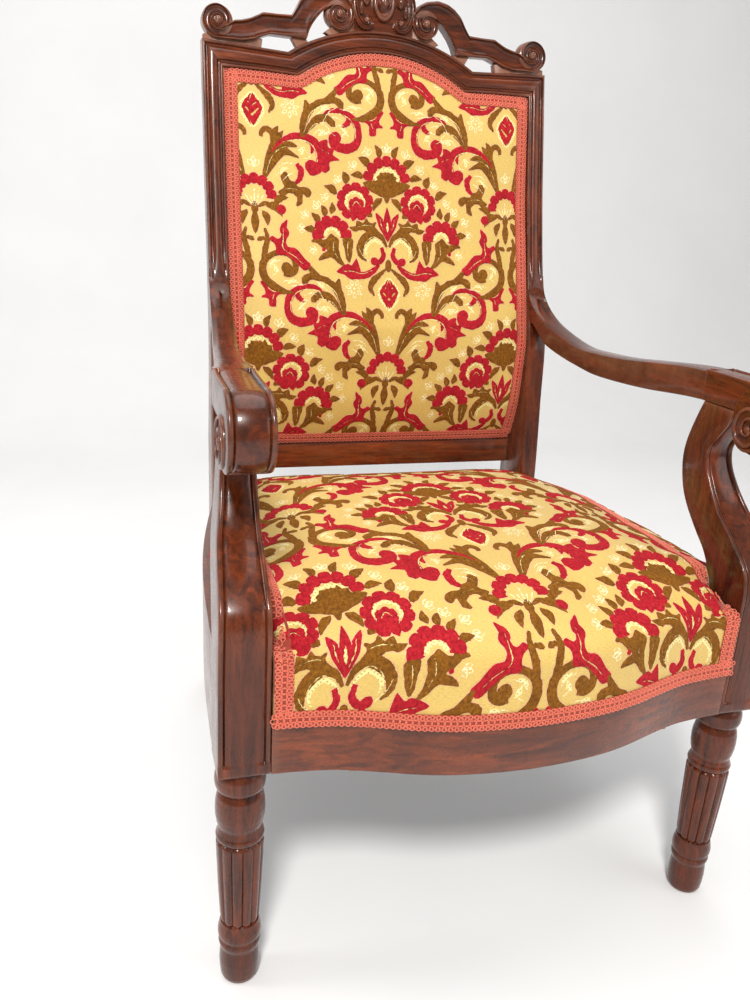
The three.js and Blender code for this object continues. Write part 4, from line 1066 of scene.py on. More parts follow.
def half_bouquet():
    """Right half of the bouquet and its pendant."""
    out = []
    for x, y, angle, size in ((0, 437, 90, 13), (27, 431, 66, 13), (47, 413, 40, 13), (70, 392, 50, 12),
                              (88, 368, 30, 12), (101, 355, 48, 12), (117, 342, 30, 12),
                              (122, 325, 0, 12), (106, 297, -22, 12)):
        out += sprig(x, y, angle, size)
    olive = [leaf(14, 438, 68, 19, 10), leaf(34, 422, 34, 21, 12), leaf(44, 402, 6, 20, 10),
            leaf(63, 399, 78, 18, 11), leaf(84, 381, 30, 22, 11), leaf(31, 349, 15, 18, 9),
            leaf(83, 356, 98, 17, 9), leaf(95, 351, 72, 17, 9), leaf(107, 340, 55, 19, 10),
            leaf(115, 323, 12, 18, 10), leaf(105, 308, -8, 18, 8), leaf(14, 364, -52, 24, 10)]
    out += [("olive", shape) for shape in olive]
    out += [("crimson", petals(0, 397, 21, 36, 0, 180, 7)), ("pale", petals(0, 396, 15.5, 21, 6, 174, 7))]
    out += [("olive", blob((0, 409), (6, 408), (9, 412), (13, 405), (19, 404), (20, 397), (27, 397),
            (36, 393), (29, 386), (23, 382), (12, 377), (5, 374), (0, 367), (-4, 390)))]
    out += [("crimson", petals(48, 366, 15.5, 27.5, -72, 262, 9)), ("pale",
            petals(48, 366, 11.6, 15.8, -35, 245, 6)), ("crimson", petals(46, 361, 0.4, 12, 0, 360, 6)),
            ("crimson", stroke([(47, 358), (51, 343)], [13, 9])), ("pale", stroke([(40, 361), (46, 367),
            (52, 360)], [0.9, 1.2, 0.8]))]
    out += [("crimson", petals(83, 317, 12.5, 29, -18, 192, 6)), ("pale",
            petals(83, 317, 7.5, 12.6, -6, 182, 5))]
    out += [("olive", blob((73, 311), (80, 316), (85, 320), (92, 312), (106, 307), (97, 299), (91, 296),
            (100, 289), (104, 281), (93, 284), (85, 286), (76, 279), (63, 272), (70, 284), (74, 298))),
            ("olive", blob((53, 313), (62, 315), (68, 312), (66, 300), (63, 286), (59, 280), (55, 290),
            (53, 302))), ("crimson", disc(96, 297, 2.6)), ("pale", stroke([(80, 312), (82, 298), (76, 286)],
            [0.8, 1.2, 0.6])), ("pale", stroke([(60, 310), (61, 298), (60, 287)], [0.6, 1.1, 0.6]))]
    # Tulip, acanthus and winged scroll.
    out += [("olive", stroke([(2, 304), (9, 317), (20, 323), (33, 316), (42, 302), (41, 290), (34, 284)],
            [3, 7, 11, 13, 12, 9, 3])), ("olive", blob((13, 325), (19, 332), (17, 339), (26, 337),
            (32, 344), (37, 337), (46, 340), (48, 332), (57, 330), (50, 324), (40, 327), (30, 324),
            (22, 321))), ("pale", stroke([(9, 312), (21, 318), (32, 311), (37, 298)], [0.7, 1.3, 1.2,
            0.7])), ("pale", stroke([(6, 302), (13, 310), (21, 313), (29, 308), (34, 299), (31, 290)], [1.5,
            4, 5, 5, 4, 1.5])), ("pale", stroke([(20, 333), (32, 334), (46, 331)], [0.6, 1.2, 0.6])),
            ("crimson", blob((0, 312), (6, 321), (13, 333), (18, 352), (10, 347), (6, 341), (2, 330),
            (-2, 320))), ("crimson", leaf(0, 336, 90, 48, 13, 0)), ("pale", leaf(0, 333, 90, 17, 3.4, 0)),
            ("pale", stroke([(2, 320), (8, 332), (11, 344)], [0.5, 1.1, 0.6]))]
    out += [("crimson", stroke([(10, 303), (7, 292), (12, 283), (19, 281)], [5, 7, 7, 8])), ("crimson",
            disc(21, 283, 5.8)), ("crimson", stroke([(14, 278), (28, 266), (44, 262), (60, 266)], [4, 9, 11,
            9])), ("crimson", blob((42, 264), (48, 286), (55, 276), (62, 278), (78, 267), (66, 262),
            (56, 256))), ("pale", stroke([(24, 270), (40, 265), (56, 268), (70, 267)], [0.6, 1.2, 1.0,
            0.5])), ("pale", stroke([(28, 282), (38, 290), (44, 300)], [0.6, 1.4, 0.6]))]
    out += [("olive", disc(0, 277, 4.4, 2.0)), ("olive", stroke([(4, 272), (13, 265), (24, 254), (28, 244),
            (23, 235)], [3, 6, 10, 8, 3]))]
    out += [("pale", blob((0, 260), (9, 252), (17, 240), (13, 226), (0, 211), (-4, 236))), ("crimson",
            blob((0, 257), (6, 251), (10, 247), (14, 239), (11, 231), (7, 223), (0, 215), (-5, 236))),
            ("satin", stroke([(9, 238), (0, 229)], [2.6, 2.8])), ("satin", disc(0, 229, 1.8)), ("pale",
            stroke([(6, 246), (0, 241)], [0.9, 1.1]))]
    return out + daisy(52, 243)


def half_scrollwork():
    """Right half of the scrolls, leaves and lower flower round the bouquet."""
    out = [("olive", stroke([(11, 201), (12, 208), (19, 212), (26, 207), (28, 196), (27, 180)], [5, 7, 8, 8,
            8, 6])), ("olive", blob((24, 206), (35, 217), (35, 208), (42, 211), (37, 196), (30, 188)))]
    # Lower flower.
    out += [("olive", blob((12, 146), (14, 165), (20, 185), (28, 199), (37, 201), (56, 196), (61, 191),
            (47, 189), (59, 181), (63, 176), (46, 179), (36, 171), (26, 159), (18, 147))), ("pale",
            stroke([(17, 152), (24, 172), (36, 186), (52, 192)], [0.6, 1.3, 1.3, 0.6])), ("olive",
            leaf(37, 117, 24, 22, 10)), ("olive", leaf(26, 102, -34, 30, 12, 0.2)), ("olive",
            leaf(14, 91, -72, 22, 10)), ("olive", blob((0, 113), (5, 104), (3, 96), (6, 86), (0, 69),
            (-4, 90))), ("olive", leaf(9, 61, 8, 15, 6)), ("crimson", disc(37, 104, 6.6)), ("crimson",
            petals(0, 121, 17, 31, -8, 188, 7)), ("satin", petals(0, 119, 1, 16.5, 20, 160, 5)), ("olive",
            leaf(15, 108, 12, 22, 6, 0.15))]
    for angle in (90, 66, 42):
        a = math.radians(angle)
        out.append(("outline", stroke([(0, 106), (11 * math.cos(a), 106 + 13 * math.sin(a)),
                (17 * math.cos(a), 106 + 25 * math.sin(a))], [0.6, 1.3, 0.8])))
    out += sprig(0, 160, 90, 15) + [("crimson", blob((45, 91), (37, 84), (33, 76), (36, 67), (30, 63),
            (23, 67), (19, 62), (27, 54), (28, 42), (44, 40), (57, 30), (67, 21), (77, 29), (68, 38),
            (56, 51), (45, 53), (42, 62), (47, 71), (44, 80))), ("pale", stroke([(39, 80), (38, 64),
            (38, 50), (54, 40), (66, 30)], [0.5, 1.2, 1.4, 1.2, 0.5]))]
    out += [("crimson", stroke([(60, 168), (66, 160), (64, 148), (57, 141)], [5, 9, 8, 4])), ("olive",
            blob((37, 150), (45, 156), (50, 146), (57, 143), (62, 137), (74, 137), (81, 130), (75, 123),
            (68, 128), (67, 114), (58, 111), (60, 122), (50, 128), (40, 123), (33, 128), (42, 136))),
            ("pale", stroke([(40, 132), (54, 134), (70, 130)], [0.5, 1.2, 0.5]))]
    # The lobed crimson scroll.
    out += [("crimson", stroke([(25, 181), (36, 194), (50, 203), (66, 206), (81, 202), (91, 192), (95, 180),
            (93, 168), (87, 160), (80, 159)], [2, 4, 7, 9, 10, 12, 13, 13, 12, 10])), ("crimson",
            disc(81, 166, 9)), ("crimson", stroke([(76, 203), (83, 195), (82, 185)], [5, 7, 4])),
            ("crimson", blob((90, 197), (104, 204), (106, 193), (116, 196), (112, 184), (122, 178),
            (108, 174), (107, 163), (98, 159), (93, 172))), ("pale", stroke([(40, 195), (60, 201),
            (78, 198), (88, 186), (90, 172)], [0.5, 1.2, 1.4, 1.3, 0.6])), ("pale", stroke([(96, 190),
            (108, 185)], [0.8, 0.6]))]
    # Plumes above it.
    out += [("olive", stroke([(67, 205), (70, 222), (78, 240), (92, 253), (106, 257), (119, 258),
            (125, 252)], [3, 9, 12, 10, 8, 9, 11])), ("olive", blob((71, 232), (73, 256), (80, 251),
            (84, 240))), ("olive", blob((90, 252), (104, 263), (119, 276), (117, 262), (104, 253))),
            ("olive", stroke([(70, 205), (80, 220), (92, 231), (104, 233), (113, 225)], [2, 7, 11, 10, 9])),
            ("pale", stroke([(72, 214), (80, 236), (94, 248), (112, 252)], [0.5, 1.3, 1.3, 0.6])), ("pale",
            stroke([(76, 212), (88, 224), (102, 227)], [0.5, 1.2, 0.6]))]
    # The plain crimson scroll and its small leaf.
    out += [("crimson", stroke([(92, 483), (84, 488), (70, 489), (56, 484), (45, 473), (42, 459), (46, 445),
            (58, 439), (72, 440), (80, 446), (80, 455)], [3, 7, 8, 9, 10, 10, 11, 13, 13, 12, 10])),
            ("crimson", disc(76, 452, 8.6)), ("crimson", stroke([(56, 482), (57, 474), (64, 469)], [7, 8,
            5])), ("pale", stroke([(86, 484), (70, 485), (56, 480), (48, 470), (46, 458), (50, 448)], [0.5,
            1.2, 1.3, 1.3, 1.2, 0.5])), ("crimson", blob((4, 492), (14, 493), (22, 486), (31, 483),
            (46, 480), (31, 476), (26, 471), (25, 459), (16, 460), (15, 469), (5, 471), (12, 478))),
            ("pale", stroke([(12, 487), (22, 480), (36, 480)], [0.6, 1.1, 0.5])), ("pale",
            stroke([(20, 464), (22, 472), (24, 478)], [0.5, 1.0, 0.5]))]
    # The olive scroll at the head.
    out += [("olive", stroke([(38, 508), (49, 507), (55, 517), (50, 529), (38, 534), (24, 532), (12, 523),
            (8, 510), (12, 497), (22, 488), (36, 481), (50, 479)], [12, 11, 8, 7, 7, 8, 10, 11, 11, 11, 9,
            2])), ("olive", disc(42, 513, 8)), ("olive", stroke([(13, 77), (16, 63), (12, 45), (9, 25),
            (12, 15)], [3, 7, 8, 7, 4]))]
    # Thread drawing inside the scrolls.
    lines = [[(60, 464), (66, 470), (74, 468)], [(56, 456), (64, 458), (66, 450)], [(66, 476), (76, 480),
            (86, 476)], [(92, 470), (84, 462), (88, 456)], [(22, 502), (30, 508), (26, 518)], [(18, 512),
            (24, 520), (34, 524)], [(34, 494), (48, 496), (62, 492)], [(44, 488), (58, 490), (70, 492)],
            [(62, 186), (70, 190), (76, 184)], [(62, 196), (68, 190), (66, 182)], [(70, 176), (78, 178),
            (80, 184)], [(30, 150), (40, 158), (50, 162)], [(34, 160), (44, 168), (54, 168)], [(40, 144),
            (48, 152), (56, 156)], [(84, 208), (92, 216), (104, 216)], [(96, 208), (106, 214), (116, 210)],
            [(90, 238), (100, 244), (112, 246)], [(96, 222), (106, 240), (118, 248)]]
    out += [("outline", stroke(line, [0.6, 1.3, 0.7])) for line in lines]
    for x, y, angle in ((64, 462, 40), (28, 512, 120), (50, 494, 20), (70, 186, 70), (42, 158, 50),
                        (98, 212, 30), (102, 246, 35), (24, 520, 40)):
        out += [("pale", leaf(x, y, angle, 15, 5)), ("outline", leaf(x, y, angle, 10, 1.2))]
    return out


PILE = ("crimson", "olive")
THREADS = ("satin", "crimson", "olive", "pale", "outline", "edge")
DRAWN_HALF, DRAWN_TALL = 192.0, 490.0  # half the width and the height of the repeat as drawn


def spread(shape, more):
    """The same shape, larger all round."""
    x, y = shape.T
    turn = np.sign(np.sum(x * np.roll(y, -1) - y * np.roll(x, -1)))
    along = np.roll(shape, -1, axis=0) - np.roll(shape, 1, axis=0)
    along /= np.maximum(np.linalg.norm(along, axis=1), 1e-6)[:, None]
    return shape + turn * more * np.stack([along[:, 1], -along[:, 0]], 1)


def damask_shapes(low, high, half_across, shift, ease=None):
    """Shapes of the damask that touch a piece of cloth, right of its axis, in painting order.

    ease moves them along the piece, where the cloth was pulled when it was tacked down.
    """
    wide = upholstery().repeat_across / MM / 2
    tall = upholstery().repeat_along / MM
    stretch = (wide / DRAWN_HALF, tall / DRAWN_TALL)
    ragged = np.random.default_rng(11)
    right = [(name, shape + ragged.normal(0, 0.3, shape.shape))
             for name, shape in half_scrollwork() + half_bouquet()]
    edges, out = [], []
    for across in range(-1, 3):
        for along in range(-3, 4):
            x0 = across * wide
            y0 = shift + along * tall + (tall / 2 if across % 2 else 0)
            for sign in (1, -1):
                for name, outline in right:
                    shape = outline * stretch * (sign, 1) + (x0, y0)
                    if ease:
                        shape[:, 1] = ease(shape[:, 1])
                    lowest, highest = shape.min(0), shape.max(0)
                    if highest[0] < 0 or lowest[0] > half_across or highest[1] < low or lowest[1] > high:
                        continue
                    out.append((name, shape))
                    if name in PILE:
                        edges.append(("edge", spread(shape, 0.9)))
    return edges + out


# ---- Cloth laid over a padded form ----
class PaddedForm:
    """The right half of a padded surface: x by column, and evenly spaced steps along each column."""

    def __init__(self, xs, columns, rows, middle):
        self.xs = np.asarray(xs, float)
        self.rows = rows
        points, starts, stops = [], [], []
        for x, column in zip(self.xs, columns):
            column = np.asarray(column, float)
            reach = run_length(column)
            zero = float(np.interp(middle, column[:, 0], reach)) if middle is not None else 0.0
            at = np.linspace(0, reach[-1], rows)
            y, z = (np.interp(at, reach, column[:, k]) for k in (0, 1))
            points.append(np.stack([np.full(rows, x), y, z], 1))
            starts.append(-zero)
            stops.append(reach[-1] - zero)
        self.points = np.array(points)
        self.starts, self.stops = np.array(starts), np.array(stops)
        self.flat = self.points.copy()

    def edges(self, x):
        return np.interp(x, self.xs, self.starts), np.interp(x, self.xs, self.stops)

    def lookup(self, s, t):
        s = np.asarray(s, float)
        low, high = self.edges(s)
        i = np.clip(np.interp(s, self.xs, np.arange(len(self.xs))), 0, len(self.xs) - 1.0001)
        j = np.clip((t - low) / (high - low) * (self.rows - 1), 0, self.rows - 1.0001)
        a, b = i.astype(int), j.astype(int)
        u, v = (i - a)[:, None], (j - b)[:, None]
        p = self.points
        return ((p[a, b] * (1 - v) + p[a, b + 1] * v) * (1 - u)
                + (p[a + 1, b] * (1 - v) + p[a + 1, b + 1] * v) * u)

    def at(self, s, t, lift=0.0):
        """Points on the cloth, raised along its normal."""
        s, t = np.asarray(s, float), np.asarray(t, float)
        place = self.lookup(s, t)
        if np.any(lift):
            place = place + self.normal(s, t) * np.broadcast_to(lift, len(s))[:, None]
        return place

    def normal(self, s, t):
        step = 2.5
        left = np.maximum(s - step, 0)
        across = self.lookup(s + step, t) - self.lookup(left, t)
        along = self.lookup(s, t + step) - self.lookup(s, t - step)
        out = np.cross(across, along)
        return out / np.maximum(np.linalg.norm(out, axis=1)[:, None], 1e-9)


TRIAL_FRAMES = 20


def swell(form, held, pressure, most):
    """Let the cloth billow a little over its stuffing: a short simulation with its edges held."""
    step_i, step_j = 4, 6
    coarse = form.points[::step_i, ::step_j]
    if (len(form.xs) - 1) % step_i or (form.rows - 1) % step_j:
        raise ValueError("the cloth's grid doesn't divide evenly")
    whole = np.concatenate([coarse[:0:-1] * (-1, 1, 1), coarse])
    count_i, count_j = whole.shape[:2]
    mesh = bpy.data.meshes.new("cloth_trial")
    faces = [(i * count_j + j, (i + 1) * count_j + j, (i + 1) * count_j + j + 1, i * count_j + j + 1)
             for i in range(count_i - 1) for j in range(count_j - 1)]
    mesh.from_pydata((whole.reshape(-1, 3) * MM).tolist(), [], faces)
    trial = add_object("cloth_trial", mesh)
    fixed = trial.vertex_groups.new(name="tacked")
    pinned = held(whole.reshape(-1, 3))
    grid = np.arange(count_i * count_j).reshape(count_i, count_j)
    pinned[np.concatenate([grid[0], grid[-1], grid[:, 0], grid[:, -1]])] = True
    fixed.add([int(i) for i in np.flatnonzero(pinned)], 1.0, "REPLACE")
    cloth = trial.modifiers.new("Cloth", "CLOTH")
    cloth.settings.quality = 6
    cloth.settings.mass = 0.35
    cloth.settings.tension_stiffness = 12.0
    cloth.settings.compression_stiffness = 12.0
    cloth.settings.vertex_group_mass = "tacked"
    cloth.settings.use_pressure = True
    cloth.settings.uniform_pressure_force = pressure
    cloth.settings.effector_weights.gravity = 0.0
    cloth.point_cache.frame_start, cloth.point_cache.frame_end = 1, TRIAL_FRAMES
    scene = bpy.context.scene
    for moment in range(1, TRIAL_FRAMES + 1):
        scene.frame_set(moment)
    evaluated = trial.evaluated_get(bpy.context.evaluated_depsgraph_get())
    moved = np.array([v.co for v in evaluated.data.vertices]).reshape(count_i, count_j, 3) / MM
    scene.frame_set(1)
    bpy.data.objects.remove(trial)
    shift = moved - whole
    size = np.linalg.norm(shift, axis=2, keepdims=True)
    shift *= np.minimum(1, most / np.maximum(size, 1e-6))
    centre = count_i // 2
    half = (shift[centre:] + shift[centre::-1] * (-1, 1, 1)) / 2
    fine_i = np.linspace(0, half.shape[0] - 1, len(form.xs))
    fine_j = np.linspace(0, half.shape[1] - 1, form.rows)
    along = np.stack([[np.interp(fine_j, np.arange(half.shape[1]), half[i, :, k]) for k in range(3)]
                      for i in range(half.shape[0])])
    fine = np.stack([[np.interp(fine_i, np.arange(half.shape[0]), along[:, k, j]) for j in range(form.rows)]
                     for k in range(3)])
    form.points = form.points + fine.transpose(2, 1, 0)


def area_of(outline):
    """The area inside a closed outline."""
    x, y = outline.T
    return abs(np.sum(x * np.roll(y, -1) - y * np.roll(x, -1))) / 2


def points_along(corners, spacing):
    """A closed outline with more points on its long sides."""
    sides = [(a, b, max(1, round(float(np.linalg.norm(b - a)) / spacing)))
             for a, b in zip(corners, np.roll(corners, -1, axis=0))]
    return np.concatenate([a + (b - a) * np.arange(n)[:, None] / n for a, b, n in sides])


def on_axis(flat, *places):
    """Whether all these places lie on the chair's middle."""
    return all(abs(flat[k][0]) < 1e-3 for k in places)


def patterned_cover(form, outline, shift, spacing, thick, face_out=1, ease=None):
    """The damask cover on a form: satin ground, drawn threads, and velvet standing up from it.

    Returns points, faces, one thread name per face and flat places, for both halves.
    """
    outline = points_along(np.asarray(outline, float), spacing)
    low, high = outline.min(0), outline.max(0)
    shapes = damask_shapes(low[1], high[1], high[0], shift, ease)
    coords, edges = [], []
    for line in [outline, *(shape for _, shape in shapes)]:
        first, size = len(coords), len(line)
        coords += [tuple(p) for p in line]
        edges += [(first + k, first + (k + 1) % size) for k in range(size)]
    xs = np.arange(low[0] + spacing / 2, high[0], spacing)
    ys = np.arange(low[1] + spacing / 2, high[1], spacing)
    net = np.array([(x + (0.5 * spacing if k % 2 else 0), y) for k, y in enumerate(ys) for x in xs])
    coords += [tuple(p) for p in net[within(net, outline)]]
    flat, _, faces, *_ = delaunay_2d_cdt([Vector(p) for p in coords], edges, [], 0, 0.02)
    flat = np.array([tuple(p) for p in flat])
    faces = np.array([tuple(face) for face in faces])
    p, q, r = (flat[faces[:, k]] for k in range(3))
    twice = (q[:, 0] - p[:, 0]) * (r[:, 1] - p[:, 1]) - (q[:, 1] - p[:, 1]) * (r[:, 0] - p[:, 0])
    faces[twice < 0] = faces[twice < 0][:, ::-1]
    middles = (p + q + r) / 3
    wanted = within(middles, outline) & (np.abs(flat[faces][:, :, 0]).max(1) > 1e-3)
    faces, middles = faces[wanted], middles[wanted]
    owner = np.zeros(len(faces), int)
    for name, shape in shapes:
        owner[within(middles, shape)] = THREADS.index(name)
    kept = [tuple(int(i) for i in face) for face in faces]
    threads = [THREADS[k] for k in owner]
    used = sorted({i for face in kept for i in face})
    index = {v: k for k, v in enumerate(used)}
    flat = flat[used]
    kept = [tuple(index[i] for i in face) for face in kept]
    count = len(flat)
    touching = [set() for _ in range(count)]
    for face, thread in zip(kept, threads):
        for i in face:
            touching[i].add(thread in PILE)
    edge_owner = {}
    for k, face in enumerate(kept):
        for i in range(len(face)):
            edge_owner.setdefault(frozenset((face[i], face[(i + 1) % len(face)])), []).append(k)
    pile = upholstery().pile / MM
    rim_height = np.array([pile * 0.72 if len(t) > 1 else pile for t in touching])
    raised = {i: count + k for k, i in enumerate(i for i in range(count) if True in touching[i])}
    top = sorted(raised, key=raised.get)
    all_faces, all_threads = [], []
    for face, thread in zip(kept, threads):
        all_faces.append(tuple(raised[i] for i in face) if thread in PILE else face)
        all_threads.append(thread)
    border = []
    for k, face in enumerate(kept):
        for i in range(len(face)):
            a, b = face[i], face[(i + 1) % len(face)]
            around = edge_owner[frozenset((a, b))]
            other = [o for o in around if o != k]
            beside_velvet = other and threads[other[0]] in PILE
            if threads[k] in PILE and not on_axis(flat, a, b) and not beside_velvet:
                all_faces.append((a, b, raised[b], raised[a]))
                all_threads.append(threads[k])
            if not other:
                border.append((a, b))
    flats = np.concatenate([flat, flat[top]])
    lift = np.concatenate([np.zeros(count), rim_height[top]])
    points = form.at(flats[:, 0], flats[:, 1], lift * face_out)
    # The lining: a wider net on the same border, set back by the cloth's thickness.
    start = len(points)
    rim = sorted({i for pair in border for i in pair})
    order = {v: k for k, v in enumerate(rim)}
    wide = spacing * 2.6
    net = np.array([(x, y) for x in np.arange(low[0] + wide / 2, high[0], wide)
                    for y in np.arange(low[1] + wide / 2, high[1], wide)])
    inner = [Vector(p) for p in net[within(net, outline)]]
    under, _, under_faces, origins, *_ = delaunay_2d_cdt(
        [*(Vector(flat[i]) for i in rim), *inner], [(order[a], order[b]) for a, b in border], [], 0, 0.001)
    under = np.array([tuple(p) for p in under])
    behind = {rim[source]: start + k for k, sources in enumerate(origins)
              for source in sources if source < len(rim)}
    for face in under_faces:
        p, q, r = under[list(face)]
        if not within(((p + q + r) / 3)[None], outline)[0] or on_axis(under, *face):
            continue
        turned = (q[0] - p[0]) * (r[1] - p[1]) - (q[1] - p[1]) * (r[0] - p[0]) > 0
        all_faces.append(tuple(start + i for i in (face[::-1] if turned else face)))
        all_threads.append("satin")
    points = np.concatenate([points, form.at(under[:, 0], under[:, 1], -thick * face_out)])
    flats = np.concatenate([flats, under])
    for a, b in border:
        if not on_axis(flat, a, b):
            all_faces.append((b, a, behind[a], behind[b]))
            all_threads.append("satin")
    # The other half, joined along the axis.
    total = len(points)
    twin = np.arange(total) + total
    axis = np.abs(flats[:, 0]) < 1e-3
    twin[axis] = np.flatnonzero(axis)
    points[axis, 0] = 0
    both = np.concatenate([points, points * (-1, 1, 1)])
    both_flats = np.concatenate([flats, flats * (-1, 1)])
    all_faces += [tuple(int(twin[i]) for i in face[::-1]) for face in all_faces]
    all_threads += all_threads
    if face_out < 0:
        all_faces = [face[::-1] for face in all_faces]
    return both, all_faces, all_threads, both_flats


def within(points, outline):
    """Which points lie inside an outline, wound either way and crossing itself or not."""
    low, high = outline.min(0), outline.max(0)
    near = np.flatnonzero(np.all((points >= low) & (points <= high), axis=1))
    x, y = points[near].T[:, :, None]
    ax, ay = outline.T[:, None, :]
    bx, by = np.roll(outline, -1, axis=0).T[:, None, :]
    left = (bx - ax) * (y - ay) - (x - ax) * (by - ay)
    turns = ((ay <= y) & (by > y) & (left > 0)).sum(1) - ((ay > y) & (by <= y) & (left < 0)).sum(1)
    out = np.zeros(len(points), bool)
    out[near[turns != 0]] = True
    return out


def make_cover(name, cover, stands_for):
    """A cover with one finish per thread and the flat cloth as its UV map."""
    points, faces, threads, flats = cover
    mesh = bpy.data.meshes.new(name)
    mesh.from_pydata(in_place(points).tolist(), [], faces)
    for thread in THREADS:
        mesh.materials.append(material(thread))
    mesh.polygons.foreach_set("material_index", [THREADS.index(t) for t in threads])
    corners = np.zeros(len(mesh.loops), np.int32)
    mesh.loops.foreach_get("vertex_index", corners)
    uv = mesh.uv_layers.new(name="cloth")
    uv.data.foreach_set("uv", (flats[corners] * MM + 0.5).ravel())
    mesh.validate()
    mesh.shade_smooth()
    mesh.set_sharp_from_angle(angle=math.radians(60))
    return finish(add_object(name, mesh), stands_for)


# ---- The seat and the back ----
APRON_LOW = LEG_TOP + 53
SEAT_REAR = SEAT_DEPTH + 40
DOME_MIDDLE = SEAT_DEPTH * 0.47
SEAT_FOOT = RAIL_TOP + 3.3
SEAT_SIDE_HALF = 303.0
PULL_START, PULL = -102.0, 1.13  # in front of this place the pattern is drawn out by this much


def seat_half_width(y):
    """Half width of the cushion: between the posts in front, out over the side rails behind them."""
    over_rail = side_outer(y) - 9.0
    behind = np.where(np.asarray(y) > SEAT_DEPTH - 9, BACK_INNER - 0.6, over_rail)
    return POST_INNER - 0.5 + (behind - POST_INNER + 0.5) * smoothstep(y, BLOCK_BACK - 1, BLOCK_BACK + 15)


def seat_height(x, y):
    half = seat_half_width(y)
    front = bow_front(x) - 2.0
    run = np.where(y < DOME_MIDDLE, (DOME_MIDDLE - y) / (DOME_MIDDLE - front),
                   (y - DOME_MIDDLE) / (SEAT_REAR - DOME_MIDDLE))
    side = np.clip(np.abs(x) / half, 0, 1)
    reach = np.clip((side ** 11 + np.clip(run, 0, 1) ** 11) ** (1 / 11), 0, 1)
    fullness = 0.45 + 0.41 * smoothstep(y, SEAT_DEPTH * 0.6, SEAT_DEPTH + 30)
    crown = upholstery().crown / MM
    return SEAT_FOOT + (crown - 3) * (1 - reach ** 2.6) ** fullness


def seat_form():
    xs = np.linspace(0, SEAT_SIDE_HALF + 1, 125)
    columns = []
    for x in xs:
        front = float(bow_front(min(x, POST_INNER))) - 2.1
        apron = [(front, z) for z in np.linspace(APRON_LOW, SEAT_FOOT - 1, 24)]
        depth = SEAT_REAR - front
        share = np.concatenate([np.linspace(0, 0.03, 14)[1:], np.linspace(0.03, 1, 160)[1:]])
        ys = front + depth * share
        top = [(float(y), float(seat_height(x, y))) for y in ys]
        columns.append(apron + top)
    form = PaddedForm(xs, columns, 301, DOME_MIDDLE)
    held = lambda p: (p[:, 2] < SEAT_FOOT + 6) | (np.abs(p[:, 0]) > seat_half_width(p[:, 1]) - 12)
    swell(form, held, 4.0, 5.0)
    return form


def seat_outline(form):
    """Edge of the cover on the flat cloth, round the notch that the post makes."""
    def along(x, y):
        column = int(round(float(np.interp(x, form.xs, np.arange(len(form.xs))))))
        low, high = form.edges(x)
        steps = np.linspace(low, high, form.rows)
        ys = form.flat[column, :, 1]
        rear = np.argmin(form.flat[column, :, 2] < SEAT_FOOT - 0.5)
        return float(np.interp(y, ys[rear:], steps[rear:]))

    inner = POST_INNER - 1.0
    front = [(x, float(form.edges(x)[0]) + 0.2) for x in np.linspace(0, inner, 40)]
    notch = [(inner, along(inner, y)) for y in np.linspace(POST_FACE + 2, BLOCK_BACK, 10)]
    side = [(float(seat_half_width(y)) - 1.0, along(float(seat_half_width(y)) - 1.0, y))
            for y in np.linspace(BLOCK_BACK + 16, SEAT_DEPTH - 10, 30)]
    corner = [(inner + 2, along(inner + 2, BLOCK_BACK + 2))]
    rear_x = BACK_INNER - 1.6
    rear = [(rear_x, along(rear_x, y)) for y in (SEAT_DEPTH - 8, SEAT_DEPTH + 12)]
    back = [(x, float(form.edges(x)[1]) - 0.2) for x in np.linspace(rear_x, 0, 24)]
    return np.array(front + notch + corner + side + rear + back)


PENDANT = 236.0  # where the pendant bud lies in the pattern's own measure


def back_form():
    """The back's padded front, from the lower rail up to the arch."""
    xs = np.linspace(0, BACK_INNER, 93)
    zs = np.linspace(LOWER_RAIL_TOP + 0.4, 1012, 700)
    faces = panel_front(zs)
    crown = upholstery().back_crown / MM
    columns = []
    for x in xs:
        top = float(arch_inner(x)) - 0.6
        keep = zs <= top
        share = (zs[keep] - zs[0]) / (top - zs[0])
        bulge = crown * ((1 - (x / BACK_INNER) ** 4) * np.maximum(1 - (2 * share - 1) ** 4, 0)) ** 0.6
        columns.append(list(zip(faces[keep] - bulge, zs[keep])))
    form = PaddedForm(xs, columns, 241, None)
    swell(form, lambda p: np.zeros(len(p), bool), 3.0, 3.0)
    return form


def plain_form(depth):
    """The flat back of the upholstery, seen from behind."""
    xs = np.linspace(0, BACK_INNER, 93)
    zs = np.linspace(LOWER_RAIL_TOP + 0.4, 1012, 500)
    faces = panel_front(zs) + depth
    columns = [list(zip(faces[zs <= float(arch_inner(x)) - 0.6], zs[zs <= float(arch_inner(x)) - 0.6]))
               for x in xs]
    return PaddedForm(xs, columns, 241, None)


def panel_outline(form, inset):
    side = BACK_INNER - inset
    low, high = form.edges(side)
    foot = [(x, inset) for x in np.linspace(0, side, 24)]
    edge = [(side, t) for t in np.linspace(float(low) + inset, float(high) - inset, 40)[1:]]
    arch = [(x, float(form.edges(x)[1]) - inset) for x in np.linspace(side, 0, 60)[1:]]
    return np.array(foot + edge + arch)


